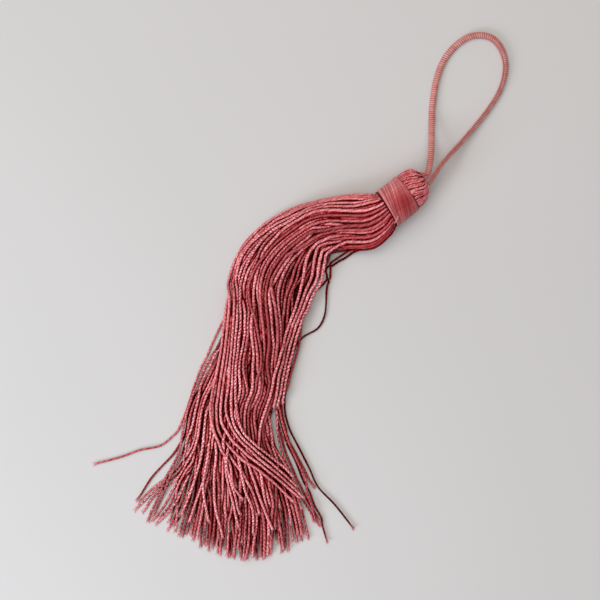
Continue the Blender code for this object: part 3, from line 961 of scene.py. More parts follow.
@dataclass
class Skirt:
    """The tassel's yarns from the neck to their cut ends."""

    pieces: int = 6
    filaments: int = 7              # at each cut end
    step: float = 0.08              # between the stations where a route is read

    # The neck.
    neck_step: float = 0.86         # from yarn to yarn where the binding grips them
    neck_reach: float = 4.85
    neck_columns: int = 10          # yarns on each side of a row's middle, at most
    root: float = 2.4               # length of yarn modelled inside the binding
    pinch: tuple = ((0.90,), (0.98,))  # share of its spread that the hank keeps there
    grip: Span = (-0.5, 3.0)        # lengths past the root over which the binding's hold ends

    # The heap, with spans in stations and levels from 0 at the bottom to 1 at the top.
    heap_power: float = 2.6         # how square its section is
    heap_samples: int = 401
    flattening: Span = (0.0, 4.0)   # where the yarns spread out from the round neck
    sinking: Span = (0.0, 4.5)      # where they come down to their heights in the heap
    edge_room: float = 0.9          # of its width that the outermost yarns fill
    top: Span = (0.42, 0.74)        # the levels from which yarns count as the top ones
    bend_slide: float = -0.28       # how far its top slides outwards in the bend
    bending: Span = (0.8, 3.8)
    slide: Span = (0.84, -0.20)     # how far its top and its bottom slide across below it
    sliding: Span = (7.0, 11.6)
    last_slide: float = 0.08        # how far the top slides on near the ends
    last_sliding: Span = (12.0, 14.5)
    rim: float = 0.95               # place across that no slide goes beyond
    rim_grip: float = 9.0           # how suddenly a slide stops there
    widest: float = 1.04
    skew: float = 0.5               # how much further the ends run on the inside of the bend

    # How the yarns stray from their places, with the steps of each wandering in stations.
    sway_step: float = 1.6
    tremble_step: float = 0.7
    heave_step: float = 1.8
    lock_sway_step: float = 2.2
    lock_heave_step: float = 2.4
    loose: tuple = (                # play, and the stations over which it comes
        (0.20, 0.2, 3.0), (0.36, 3.0, 9.0), (0.5, 11.0, 16.0))
    lock_sway: float = 0.9
    sway: float = 0.6
    tremble: float = 0.09
    lock_heave: float = 0.32
    heave: float = 0.22
    lock_fan: float = 2.0
    own_fan: float = 7.2
    fanning: Span = (12.4, 16.5)
    rim_calm: float = 0.7           # how much less the outermost yarns wander
    calm: Span = (12.5, 10.5)
    locks_across: float = 4.2
    locks_up: float = 3.4
    lock_slant: float = 0.8         # how far a lock's upper yarns lie beside its lower ones

    # The small partings that are drawn, and how a parting acts.
    small_partings: int = 46
    small_start: Span = (0.6, 13.0)
    small_share: Span = (-0.72, 0.85)
    small_length: Span = (1.6, 3.8)
    small_width: Span = (0.5, 1.3)
    small_level: Span = (0.35, 0.65)
    parting_fade: float = 0.2       # levels below and above its own over which it opens
    parting_reach: float = 0.16     # how far across it is felt

    # Settling, with lengths along a yarn.
    rounds: int = 240
    quick_rounds: int = 60
    drop: float = 5.0               # how far above the heap its top yarns start
    land: float = 6.0               # the same for a yarn that lies on top of them all
    dropping: Span = (4.0, 40.0)
    leading: Span = (-1.0, 4.0)     # lengths past its leaving over which a led yarn is led
    led_hold: float = 0.95
    led_pull: float = 6.0
    floor: tuple = ((0.0, 10.0, 30.0, 50.0), (0.54, 0.62, 0.62, 0.56))  # lowest height, by length
    loosened: float = 30.0          # length over which the yarns come to lie loosely

    # Led yarns.
    back: int = 8                   # points from a led yarn's leaving to the one that aims it
    led_steps: int = 16             # points for each point of its route
    ahead: int = 16                 # points searched for the start of its own way
    flatly: Triple = (1.0, 1.0, 0.7)  # how much each direction counts in that search
    led_dark: Span = (0.2, 0.4)     # painted shade of dark led yarns: how much cover one gets, and from which tone

    # The cut ends.
    cut_spread: float = 0.20        # in stations
    early_chance: float = 0.45
    early: Span = (0.3, 1.5)        # how many stations earlier some upper yarns are cut

    # Looks.
    sizes: Span = (0.88, 1.12)
    girth: tuple = ((0.0, root, 10.0, 30.0, 50.0, 100.0, 125.0),
                    (0.88, 1.02, 1.14, 1.13, 1.08, 1.06, 1.0))  # thickness by length
    swell: float = 0.05             # of the thickness along a yarn
    swell_step: float = 5.0
    tone: Span = (-0.6, 1.6)        # middle and spread
    palest: float = 1.8
    # Painted shade along the yarns: under their neighbours, towards the cut ends and in the bend.
    sunk: Span = (0.9, 3.4)         # depths under its neighbours where a yarn's painted shade comes
    sunk_span: int = 5              # points that the depth is evened out over
    sunk_shade: Triple = (3.4, 12.0, 30.0)  # shade, and the lengths over which it comes
    low_shade: Triple = (1.0, 50.0, 78.0)
    neck_shade: tuple = (0.9, (4.0, 12.0), (50.0, 36.0))  # and the lengths over which it goes
    flare: Span = (1.05, 0.22)      # least, and how much more it may be
    twist: Span = (0.6, 1.25)
    spun: Span = (0.3, 1.0)

    # The filaments of a cut end.
    filament_setback: float = 0.25
    filament_aside: Span = (0.08, 0.30)
    filament_length: Span = (0.55, 1.25)
    filament_splay: Span = (0.05, 0.65)
    filament_bend: float = 0.05
    filament_floor: float = 0.1
    filament_girth: Triple = (1.0, 0.9, 0.4)
    filament_rings: float = 0.4

    def __post_init__(self) -> None:
        """Lays out the yarns at the neck and draws where the skirt parts."""
        self.rng = np.random.default_rng(SEED)
        self.table = np.array(STATIONS)
        self.slots = self.neck_slots()
        self.heaps = self.spread_out()
        self.partings = [*PARTINGS, *(self.small_parting() for _ in range(self.small_partings))]
        self.locks: dict[int, Lock] = {}

    def small_parting(self) -> Parting:
        """Draws a small gap between the upper yarns.

        Returns:
            The gap.
        """
        draw = self.rng.uniform
        start = draw(*self.small_start)
        return Parting(draw(*self.small_share), start, start + draw(*self.small_length),
                       draw(*self.small_width), draw(*self.small_level))

    def neck_slots(self) -> np.ndarray:
        """Packs the yarns in a circle.

        Returns:
            Each yarn's share across the neck and its rise in it, both from -1 to 1.
        """
        slots = []
        rows = int(self.neck_reach / (self.neck_step * math.sqrt(0.75)))
        for row in range(-rows, rows + 1):
            up = row * self.neck_step * math.sqrt(0.75)
            wide = math.sqrt(max(0.0, self.neck_reach ** 2 - up ** 2))
            for column in range(-self.neck_columns, self.neck_columns + 1):
                across = (column + 0.5 * (row % 2)) * self.neck_step
                if abs(across) <= wide:
                    slots.append((across, up))
        return np.array(slots) / self.neck_reach

    def spread_out(self) -> np.ndarray:
        """Spreads the yarns over the flattened heap, in their order across the neck.

        Returns:
            Each yarn's share across the heap, from -1 to 1.
        """
        x = np.linspace(-1.0, 1.0, self.heap_samples)
        heap = np.cumsum(1.0 - np.abs(x) ** self.heap_power)
        rank = np.argsort(np.argsort(self.slots[:, 0] + 1e-3 * self.slots[:, 1]))
        return np.interp((rank + 0.5) / len(rank), heap / heap[-1], x)

    def lock_of(self, share: float, level: float) -> Lock:
        """Finds the lock that a yarn belongs to, and draws it if it is new.

        Args:
            share: The yarn's share across the neck.
            level: How high it lies.

        Returns:
            The lock.
        """
        column = int((share + 1.0) * self.locks_across + self.lock_slant * level)
        name = column * 10 + int(level * self.locks_up)
        if name not in self.locks:
            self.locks[name] = Lock(Drift(self.rng, LAST, self.lock_sway_step), self.rng.normal(),
                                    Drift(self.rng, LAST, self.lock_heave_step))
        return self.locks[name]

    def level_of(self, share: float, rise: float) -> float:
        """Gives how high a yarn lies among those above and below it, from 0 to 1."""
        return 0.5 + 0.5 * rise / math.sqrt(max(1.0 - share * share, 0.04))

    def parted(self, heap: float, level: float, place: np.ndarray) -> np.ndarray:
        """Finds how far the gaps near a yarn push it aside.

        Args:
            heap: Its share across the heap.
            level: How high it lies.
            place: The stations to find it at.

        Returns:
            The shift across, in millimetres.
        """
        total = np.zeros(len(place))
        for gap in self.partings:
            middle = 0.5 * (gap.start + gap.end)
            opened = smooth_step(gap.start, middle, place) * smooth_step(gap.end, middle, place)
            opened = opened * float(smooth_step(gap.level - self.parting_fade,
                                                gap.level + self.parting_fade, level))
            away = heap - gap.share
            near = np.exp(-(away / self.parting_reach) ** 2)
            total += 0.5 * gap.width * opened * np.sign(away) * near
        return total

    def side_of(self, number: int, level: float, place: np.ndarray,
                width: np.ndarray) -> np.ndarray:
        """Finds where a yarn runs across the skirt.

        Args:
            number: Which yarn it is.
            level: How high it lies.
            place: The stations to find it at.
            width: The skirt's width there.

        Returns:
            Its place across, from -1 to 1.
        """
        sway = Drift(self.rng, LAST, self.sway_step)
        tremble = Drift(self.rng, LAST, self.tremble_step)
        share, heap = self.slots[number, 0], self.heaps[number]
        lock = self.lock_of(share, level)
        settled = smooth_step(*self.flattening, place)
        side = (share * (1.0 - settled) + heap * settled) * (1.0 - self.edge_room / width)
        top = float(smooth_step(*self.top, level))
        slide = (self.slide[0] * top + self.slide[1] * (1.0 - top)) \
            * smooth_step(*self.sliding, place) \
            + self.last_slide * top * smooth_step(*self.last_sliding, place)
        slide = slide + self.bend_slide * top * (1.0 - heap * heap) \
            * smooth_step(*self.bending, place)
        beyond = np.logaddexp(0.0, (self.rim - side - slide) * self.rim_grip) / self.rim_grip
        side = self.rim - beyond
        loose = sum(play * smooth_step(start, end, place) for play, start, end in self.loose)
        wander = loose * (self.lock_sway * lock.sway.at(place) + self.sway * sway.at(place)) \
            + self.tremble * tremble.at(place) * settled
        own_fan = (1.0 + self.own_fan * max(0.0, level - 0.5)) * self.rng.normal()
        fan = (own_fan + self.lock_fan * lock.fan) * smooth_step(*self.fanning, place)
        calm = self.rim_calm * max(0.0, -heap) ** 4 * smooth_step(*self.calm, place)
        shift = wander * (1.0 - calm) + self.parted(heap, level, place) + fan
        return np.clip(side + shift / (width / 2.0), -self.widest, self.widest)

    def route(self, number: int, end: float) -> np.ndarray:
        """Finds the way that a yarn would take if it met no other.

        Args:
            number: Which yarn it is.
            end: The station where it is cut.

        Returns:
            Points from inside the binding to the cut end.
        """
        heave = Drift(self.rng, LAST, self.heave_step)
        place = np.arange(0.0, end, self.step)
        rows = through(self.table, place)
        station, far = Station(*rows.T), rows[:, 0:2]
        across = rows[:, 2:4] - far
        width = np.linalg.norm(across, axis=1)
        ahead = np.stack((across[:, 1], -across[:, 0]), axis=1) / width[:, None]
        share, rise = self.slots[number]
        level = self.level_of(share, rise)
        side = self.side_of(number, level, place, width)
        bow = station.bow * (1.0 - np.minimum(1.0, side ** 2)) * (1.0 + self.skew * side)
        flat = far + across * (0.5 + 0.5 * side)[:, None] + ahead * bow[:, None]
        settled = smooth_step(*self.sinking, place)
        mound = station.height * (1.0 - np.abs(side.clip(-1.0, 1.0)) ** self.heap_power)
        heaving = self.lock_heave * self.lock_of(share, level).heave.at(place) \
            + self.heave * heave.at(place)
        heaped = level * np.maximum(mound - YARN_CONTACT, 0.0) + settled * heaving
        round_up = (station.height - YARN_CONTACT) * (rise + 1.0) / 2.0
        up = np.maximum(station.lift, 0.0) + YARN_CONTACT / 2.0 \
            + round_up * (1.0 - settled) + np.maximum(heaped, 0.0) * settled
        way = np.concatenate((flat, up[:, None]), axis=1)
        foot = head_point(0.0, 0.0, 0.0)
        inside = head_point(np.array((self.root, self.root / 2.0)), np.zeros(2), np.zeros(2))
        return np.concatenate((inside + np.array(self.pinch) * (way[0] - foot), way))

    def cut(self, number: int) -> float:
        """Draws the station where a yarn is cut."""
        early = self.rng.random() < self.early_chance and self.level_of(*self.slots[number]) > 0.5
        end = LAST - abs(self.rng.normal(0.0, self.cut_spread))
        return end - (self.rng.uniform(*self.early) if early else 0.0)

    def leaving(self, led: Led) -> int:
        """Counts the points of a yarn's way before the place where it is led off."""
        return 2 + int(led.leaves / self.step)

    def led_route(self, led: Led, way: np.ndarray) -> np.ndarray:
        """Turns a yarn's way off onto its own route.

        Args:
            led: Where the yarn is led.
            way: The way that it would take otherwise.

        Returns:
            The points of its new way.
        """
        kept = way[:self.leaving(led)]
        rest = np.array(led.route)
        rest = np.concatenate((rest, np.linspace(*led.heights, len(rest))[:, None]), axis=1)
        tail = np.concatenate((kept[-self.back:1 - self.back], kept[-1:], rest))
        places = np.linspace(1.0, len(tail) - 1.0, self.led_steps * len(tail))
        return np.concatenate((kept[:-1], through(tail, places)))

    def led_slots(self, ways: list[np.ndarray]) -> dict[int, Led]:
        """Gives each led way to the free yarn that passes nearest to its start.

        Args:
            ways: Every yarn's way.

        Returns:
            The led way of each yarn that has one.
        """
        taken: dict[int, Led] = {}
        for led in LED_YARNS:
            bead = self.leaving(led)
            start = np.array(led.route[0] + (led.heights[0],))
            apart = np.full(len(ways), math.inf)
            for number, way in enumerate(ways):
                if bead < len(way) - 2 and number not in taken:
                    gaps = (way[bead:bead + self.ahead] - start) * self.flatly
                    apart[number] = np.linalg.norm(gaps, axis=1).min()
            taken[int(np.argmin(apart))] = led
        return taken

    def course(self, way: np.ndarray, rise: float, led: Led | None) -> Course:
        """Says what a yarn is to do while the skirt settles.

        Args:
            way: The way that it would take alone.
            rise: Its height in the neck, from -1 to 1.
            led: Where it is led, if it is.

        Returns:
            Its course.
        """
        line = evenly(self.led_route(led, way) if led else way, BEAD_GAP)
        length = walked(line)
        led_on = np.zeros(len(line))
        if led:
            left = walked(way[:self.leaving(led)])[-1]
            led_on = smooth_step(left + self.leading[0], left + self.leading[1], length)
        rides = bool(led and led.rides)
        lift = self.drop * (0.5 + 0.5 * rise) * smooth_step(*self.dropping, length) \
            * (1.0 - led_on) + (self.land * led_on if rides else 0.0)
        gripped = 1.0 - smooth_step(self.root + self.grip[0], self.root + self.grip[1], length)
        return Course(
            goal=line, lift=lift,
            hold=gripped if rides else np.maximum(gripped, self.led_hold * led_on),
            floor=np.interp(length, *self.floor),
            room=np.interp(length, (self.root, self.root + self.loosened),
                           (YARN_CONTACT, YARN_ROOM)),
            pull=np.full(len(line), self.led_pull if led else 1.0), fall=led_on * rides)

    def settle(self) -> list[Yarn]:
        """Routes every yarn, lets the skirt settle and chooses each yarn's detail and looks.

        Returns:
            The yarns at rest.
        """
        ways = [self.route(number, self.cut(number)) for number in range(len(self.slots))]
        taken = self.led_slots(ways)
        courses = [self.course(way, rise, taken.get(number))
                   for number, (way, rise) in enumerate(zip(ways, self.slots[:, 1]))]
        settler = YarnSettler(rounds=self.rounds)
        lines = settler.settle(courses)
        log.info("settled %d yarns of %d beads", len(lines), sum(len(line) for line in lines))
        self.exposure = Exposure(lines)
        seen = zip(lines, self.exposure.rings(), self.exposure.sunk())
        return [self.dressed(line, rings, sunk, taken.get(number))
                for number, (line, rings, sunk) in enumerate(seen)]

    def dressed(self, line: np.ndarray, rings: np.ndarray, sunk: np.ndarray,
                led: Led | None) -> Yarn:
        """Draws the looks of a yarn at rest.

        Args:
            line: Where it lies.
            rings: The distance between its rings, point by point.
            sunk: How far it lies below the top yarns beside it.
            led: Where it is led, if it is.

        Returns:
            The yarn.
        """
        size = led.girth if led else self.rng.uniform(*self.sizes)
        length = walked(line)
        girth = size * np.interp(length, *self.girth)
        swell = Drift(self.rng, length[-1], self.swell_step).at(length)
        tone = led.tone if led else min(self.palest, self.rng.normal(*self.tone))
        span = self.sunk_span
        sunk = np.convolve(np.pad(sunk, span // 2, "edge"), np.full(span, 1.0 / span), "valid")
        # Painted shade: darker where sunk under the neighbours, towards the cut ends and in the
        # bend.
        deep, low, (neck, comes, goes) = self.sunk_shade, self.low_shade, self.neck_shade
        shade = deep[0] * smooth_step(*self.sunk, sunk) * smooth_step(*deep[1:], length) \
            + low[0] * smooth_step(*low[1:], length) \
            + neck * smooth_step(*comes, length) * smooth_step(*goes, length)
        # Painted shade: dark led yarns get cover as if they lay in shadow.
        strength, start = self.led_dark
        return Yarn(line, rings, tone, phase=TURN * self.rng.random(),
                    girth=girth * (1.0 + self.swell * swell),
                    flare=self.flare[0] + self.flare[1] * self.rng.random(),
                    cover=strength * max(0.0, -led.tone - start) if led else 0.0,
                    twist=self.rng.uniform(*self.twist), spun=self.rng.uniform(*self.spun),
                    shade=0.0 if led else shade)

    def frayed(self, yarns: list[Yarn]) -> list[Yarn]:
        """Parts each yarn's cut end into a few filaments.

        Args:
            yarns: The yarns at rest.

        Returns:
            The filaments.
        """
        filaments, draw = [], self.rng.uniform
        for yarn in yarns:
            heading = unit(yarn.line[-1] - yarn.line[-3])
            for _ in range(self.filaments):
                aside = self.rng.normal(0.0, 1.0, 3)
                aside = unit(aside - (aside @ heading) * heading)
                root = yarn.line[-1] - self.filament_setback * heading \
                    + draw(*self.filament_aside) * aside
                length = draw(*self.filament_length)
                tip = root + length * unit(heading + draw(*self.filament_splay) * aside)
                bend = 0.5 * (root + tip) + self.filament_bend * aside
                line = np.stack((root, bend, tip))
                line[:, 2] = np.maximum(line[:, 2], self.filament_floor)
                filaments.append(Yarn(line, np.full(3, self.filament_rings),
                                      yarn.tone + self.rng.normal(), 0.0,
                                      np.array(self.filament_girth), flare=1.0))
        return filaments

    def build(self, material: bpy.types.Material) -> list[bpy.types.Object]:
        """Makes the skirt's pieces, each a lock of yarns from one side to the other.

        Args:
            material: The silk's finish.

        Returns:
            The locks and the frayed ends.
        """
        yarns = self.settle()
        loom = YarnLoom(YarnStyle(), self.exposure)
        order = np.argsort(self.slots[:, 0], kind="stable")
        pieces = []
        for number, part in enumerate(np.array_split(order, self.pieces)):
            piece = loom.weave(f"skirt_lock_{number + 1}", [yarns[i] for i in part], material)
            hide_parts("yarn_skirt")
            pieces.append(piece)
        fringe = YarnLoom(FilamentStyle()).weave("frayed_ends", self.frayed(yarns), material)
        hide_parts("yarn_skirt")
        return pieces + [fringe]


# ---------------------------------------------------------------------------------- head

def inward(angle: np.ndarray) -> np.ndarray:
    """Gives how far round the head an angle lies: 0 outside the bend, 1 inside it."""
    return 0.5 + 0.5 * np.sin(angle)


def blended(far: np.ndarray, near: np.ndarray, angle: np.ndarray) -> np.ndarray:
    """Blends a distance outside the bend with the one inside it, by the angle between them."""
    return far * (1.0 - inward(angle)) + near * inward(angle)


def round_head(along: np.ndarray, radius: np.ndarray, angle: np.ndarray,
               lowest: float) -> np.ndarray:
    """Places points round the head's axis, but not below a lowest height.

    Args:
        along: How far along the head.
        radius: Distance from its axis.
        angle: Angle about the axis, 0 on top and a quarter turn inside the bend.
        lowest: The lowest height.

    Returns:
        The points.
    """
    points = head_point(along, radius * np.sin(angle), radius * np.cos(angle))
    points[..., 2] = np.maximum(points[..., 2], lowest)
    return points


def move(bm: bmesh.types.BMesh, spots: np.ndarray) -> None:
    """Moves a mesh's vertices to new spots, one by one."""
    for vert, spot in zip(bm.verts, spots):
        vert.co = Vector(spot)


class Girdle(NamedTuple):
    """How thick the head or its binding is at one place along the head."""

    along: float
    far: float                      # distance from the axis on the outside of the bend
    near: float                     # and on the inside of the bend


@dataclass
class Binding:
    """The thread wound round the neck; over the top it slants from the head to the skirt."""

    thread: float = 0.20            # radius of the thread
    section: Triple = (0.93, 0.07, 0.9)  # its plies' radius, offset and valley, in radiuses
    turns: int = 56
    points: int = 73                # along a turn
    waves: int = 8                  # of its unevenness
    slant: float = 2.6              # how far a turn leans along the head on each side
    crowd: float = 3.6              # how closely the turns crowd at both edges
    margin: float = 0.25            # from the binding's edges to its outermost turns
    spread: Span = (-0.50, 1.50)  # from the first turn to the last, uncrowded
    tilt: float = 1.1               # how far its foot slants up the head outside the bend
    depth: float = 0.10             # how much deeper one turn may lie than another
    sway: float = 0.004             # how unevenly a turn runs
    ring_gap: float = 0.6
    tones: Span = (-1.2, 1.5)
    drift: Span = (0.8, 1.6)  # strength and step of the tone's slow change
    # A dark thread along the binding's foot: a painted shadow where it meets the skirt.
    seam_shadow_tone: float = -4.0
    seam_shadow_cover: float = 0.8
    seam_shadow_girth: float = 0.65
    seam_shadow_inset: float = 0.32
    wear_and_shade: float = 0.18              # how strongly the binding is darkened on top, a painted shade patch
    shade_patch_along: Span = (4.9, 3.0)  # where, and how widely
    shade_patch_across: Span = (1.6, 2.8)
    radius: float = 6.0             # about the binding's own, to find the painted shade patch
    tail_tone: float = 2.0
    tail_gap: float = 0.25          # from point to point
    tail: tuple = (                 # the tucked end: along the head, angle and inset
        (-0.5, 0.95, 0.30), (0.1, 0.86, 0.02), (0.8, 0.78, -0.08), (1.5, 0.70, 0.15))
    lip: tuple = ((0.4, -1.4), (0.15, -0.45), (0.3, -0.3))  # the sleeve's edge: along and depth
    sleeve_sides: int = 64
    sleeve_radius: float = 10.0     # while it is turned, before it is fitted to the neck
    collars: tuple[Girdle, ...] = (
        Girdle(0.0, 5.95, 6.25), Girdle(2.2, 5.90, 6.30), Girdle(4.4, 5.90, 6.30),
        Girdle(6.6, 5.95, 6.25), Girdle(8.7, 6.05, 6.10))

    def ring(self, along: np.ndarray, angle: np.ndarray, inset: np.ndarray) -> np.ndarray:
        """Places points round the neck.

        Args:
            along: How far along the head.
            angle: Angle about the axis, 0 on top and a quarter turn inside the bend.
            inset: How deep under the binding's surface.

        Returns:
            The points, kept above the surface that the head rests on.
        """
        places, far, near = np.array(self.collars).T
        radius = blended(np.interp(along, places, far), np.interp(along, places, near), angle)
        along = along + self.tilt * (1.0 - inward(angle)) * (1.0 - along / BINDING_LENGTH)
        return round_head(along, radius - inset, angle, self.thread)

    def sleeve(self, material: bpy.types.Material) -> bpy.types.Object:
        """Turns the sleeve that the thread is wound on.

        Args:
            material: Its finish.

        Returns:
            The new object.
        """
        end, spun = BINDING_LENGTH, self.sleeve_radius
        profile = self.lip + tuple((0.1 * end * k, self.lip[-1][1]) for k in range(1, 10)) \
            + tuple((end - along, depth) for along, depth in reversed(self.lip))
        bm = bmesh.new()
        verts = [bm.verts.new((along, 0.0, spun + depth)) for along, depth in profile]
        edges = [bm.edges.new(pair) for pair in zip(verts, verts[1:] + verts[:1])]
        bmesh.ops.spin(bm, geom=verts + edges, cent=(0, 0, 0), axis=(1, 0, 0), angle=TURN,
                       steps=self.sleeve_sides, use_merge=True)
        bmesh.ops.remove_doubles(bm, verts=bm.verts, dist=1e-5)
        along, across, up = np.array([vert.co for vert in bm.verts]).T
        move(bm, self.ring(along, np.arctan2(across, up), spun - np.hypot(across, up)))
        return solid("binding_sleeve", bm, material)

    def thread_yarn(self, line: np.ndarray, tone: float, cover: float | np.ndarray = 0.0,
                    girth: float = 1.0) -> Yarn:
        """Makes a thread of a line."""
        return Yarn(line, np.full(len(line), self.ring_gap), tone, 0.0,
                    np.full(len(line), girth), 1.0, cover)

    def painted_shade(self, along: np.ndarray, angle: np.ndarray) -> np.ndarray:
        """Finds how much darker a turn is in the painted shade patch on the binding's top."""
        away = ((along - self.shade_patch_along[0]) / self.shade_patch_along[1]) ** 2 \
            + ((np.sin(angle) * self.radius - self.shade_patch_across[0]) / self.shade_patch_across[1]) ** 2
        return self.wear_and_shade * np.exp(-away) * (np.cos(angle) > 0.0)

    def wound(self) -> list[Yarn]:
        """Winds the thread, turn by turn, lays a dark thread along its foot as a painted shadow,
        and lays its tucked end.

        Returns:
            The threads.
        """
        rng = np.random.default_rng(SEED + 1)
        angle = math.pi + np.linspace(0.0, TURN, self.points)
        strength, step = self.drift
        shades = strength * Drift(rng, float(self.turns), step).at(np.arange(self.turns))
        first, last = self.spread
        threads = []
        for number in range(self.turns):
            middle = first + (last - first) * (number + 0.5) / self.turns
            knots = rng.normal(0.0, 1.0, (self.waves + 2, 1))
            sway = self.sway * through(knots, np.linspace(0.0, self.waves, len(angle)))[:, 0]
            sway = sway * np.sin(0.5 * (angle - math.pi))
            share = middle + sway - self.slant / BINDING_LENGTH * np.sin(angle)
            along = self.margin + (BINDING_LENGTH - 2.0 * self.margin) \
                / (1.0 + np.exp(-self.crowd * (share - 0.5)))
            line = self.ring(along, angle, self.thread + self.depth * rng.random())
            # Painted shade: turns in the patch on top get cover, which darkens them.
            threads.append(self.thread_yarn(line, shades[number] + rng.uniform(*self.tones),
                                            self.painted_shade(along, angle)))
        # Painted shadow: the dark thread at the foot stands for the shadow line between binding and
        # skirt.
        edge = self.ring(np.zeros(len(angle)), angle, self.seam_shadow_inset)
        threads.append(self.thread_yarn(edge, self.seam_shadow_tone, self.seam_shadow_cover, self.seam_shadow_girth))
        tail = smooth_line(self.ring(*np.array(self.tail).T), self.tail_gap)
        threads.append(self.thread_yarn(tail, self.tail_tone))
        return threads

    def build(self, material: bpy.types.Material,
              dark: bpy.types.Material) -> list[bpy.types.Object]:
        """Makes the sleeve and the winding.

        Args:
            material: The thread's finish.
            dark: The sleeve's finish, darkened as painted shade.

        Returns:
            The new objects.
        """
        loom = YarnLoom(YarnStyle(*(self.thread * share for share in self.section), lay=UNTWISTED))
        pieces = [self.sleeve(dark), loom.weave("binding_thread", self.wound(), material)]
        for piece in pieces:
            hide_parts("neck_binding")
        return pieces


@dataclass
class Head:
    """The dome of yarns that are folded over the hanging cord."""

    yarns: int = 52
    lean: float = 0.34              # how far the folds turn about the axis as they rise
    leaning: Span = (9.0, 14.0)  # the lengths along the head where they do
    rounding: Span = (12.0, 14.5)  # where an inset also goes down the axis
    least: float = 0.3              # distance from the axis
    uneven: float = 0.25            # how unevenly the yarns stand round the head
    sway: Span = (0.045, 1.7)  # strength and step of their wandering
    depths: Span = (0.10, 0.14)  # least inset, and how much more it may be
    dip: float = 1.6                # how deep a yarn goes where it is tucked under
    tucking: Span = (-0.9, 0.6)  # folds before and after its last
    points: int = 60                # along a yarn while it is laid
    tone: float = 2.0
    girth: float = 0.88
    spun: float = 1.5
    hidden: float = 0.75            # depth at which a fold's painted shade is full
    folds: tuple[Girdle, ...] = (   # places that a folded yarn runs through
        Girdle(7.4, 5.25, 5.25), Girdle(8.6, 5.35, 5.50), Girdle(9.5, 5.55, 5.65),
        Girdle(11.2, 5.45, 5.15), Girdle(12.7, 5.20, 4.50), Girdle(13.8, 4.45, 3.45),
        Girdle(14.4, 3.30, 2.35), Girdle(14.6, 2.10, 1.60), Girdle(14.1, 1.20, 1.00),
        Girdle(13.2, 1.00, 0.90))
    tucks: tuple = (9, 6, 5, 6)     # the last fold that each of four yarns reaches in turn
    loose_ends: tuple = (           # fine threads that run across to the cord
        ((46.4, 57.0, 8.3), (49.6, 56.6, 7.3)), ((46.7, 56.5, 8.5), (49.7, 56.2, 7.5)),
        ((47.0, 56.0, 8.5), (49.6, 55.7, 7.6)))
    loose_rise: float = 0.25        # how high they bow up
    loose_tone: float = 3.0
    loose_girth: float = 0.34
    loose_gap: float = 0.3          # from point to point
    loose_rings: float = 0.4        # from ring to ring
    core_inset: float = 0.45
    core_sides: int = 40
    core_steps: tuple[float, ...] = (1.0,) * 4 + (0.6,) * 6  # from ring to ring, in folds

    def surface(self, place: np.ndarray, angle: np.ndarray,
                inset: float | np.ndarray) -> np.ndarray:
        """Places points on the dome.

        Args:
            place: How far along the table of folds, in rows.
            angle: Angle about the axis, 0 on top and a quarter turn inside the bend.
            inset: How deep the points lie.

        Returns:
            The points.
        """
        along, far, near = through(np.array(self.folds), place).T
        angle = angle + self.lean * smooth_step(*self.leaning, along)
        radius = np.maximum(blended(far, near, angle) - inset, self.least)
        return round_head(along - inset * smooth_step(*self.rounding, along), radius, angle,
                          YARN_CONTACT / 2.0)

    def folded_yarns(self) -> list[Yarn]:
        """Lays the yarns over the dome, and the loose threads that run to the cord.

        Returns:
            The yarns.
        """
        rng = np.random.default_rng(SEED + 2)
        made, end = [], len(self.folds) - 1
        strength, step = self.sway
        for number in range(self.yarns):
            angle = TURN * (number + self.uneven * rng.normal()) / self.yarns
            last = self.tucks[number % len(self.tucks)]
            start, stop = last + self.tucking[0], last + self.tucking[1]
            place = np.linspace(0.0, stop if last < end else last, self.points)
            sway = strength * through(rng.normal(0.0, 1.0, (8, 1)), place / step)[:, 0]
            dip = self.dip * smooth_step(start, stop, place) if last < end else 0.0
            depth = self.depths[0] + self.depths[1] * rng.random() + dip
            line = evenly(self.surface(place, angle + sway, depth), BEAD_GAP / 2.0)
            made.append(Yarn(line, np.full(len(line), Detail.SHOWN.value), self.tone + rng.normal(),
                             TURN * rng.random(), np.full(len(line), self.girth), 1.0,
                             spun=self.spun))
        for ends in np.array(self.loose_ends):
            line = smooth_line(np.stack((ends[0], ends.mean(axis=0), ends[1])), self.loose_gap)
            line[:, 2] += self.loose_rise * np.sin(np.linspace(0.0, math.pi, len(line)))
            made.append(Yarn(line, np.full(len(line), self.loose_rings), self.loose_tone, 0.0,
                             np.full(len(line), self.loose_girth), 1.0))
        return made

    def core(self, material: bpy.types.Material) -> bpy.types.Object:
        """Models the solid mass of yarn under the folds.

        Args:
            material: Its finish.

        Returns:
            The new object.
        """
        bm = bmesh.new()
        bmesh.ops.create_circle(bm, segments=self.core_sides, radius=1.0)
        edges = list(bm.edges)
        for step in self.core_steps:
            grown = bmesh.ops.extrude_edge_only(bm, edges=edges)["geom"]
            fresh = [part for part in grown if isinstance(part, bmesh.types.BMVert)]
            edges = [part for part in grown if isinstance(part, bmesh.types.BMEdge)]
            bmesh.ops.translate(bm, verts=fresh, vec=(0.0, 0.0, step))
        bmesh.ops.holes_fill(bm, edges=[edge for edge in bm.edges if edge.is_boundary], sides=0)
        x, y, place = np.array([vert.co for vert in bm.verts]).T
        move(bm, self.surface(place, np.arctan2(y, x), self.core_inset))
        return solid("head_core", bm, material)

    def build(self, material: bpy.types.Material,
              dark: bpy.types.Material) -> list[bpy.types.Object]:
        """Makes the folded yarns and what lies under them.

        Args:
            material: The silk's finish.
            dark: The finish of what lies under them, darkened as painted shade.

        Returns:
            The new objects.
        """
        yarns = self.folded_yarns()
        loom = YarnLoom(YarnStyle(), Exposure([yarn.line for yarn in yarns], self.hidden))
        pieces = [loom.weave("head_folds", yarns, material), self.core(dark)]
        for piece in pieces:
            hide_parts("yarn_skirt")
        return pieces


# ---------------------------------------------------------------------------------- hanging cord

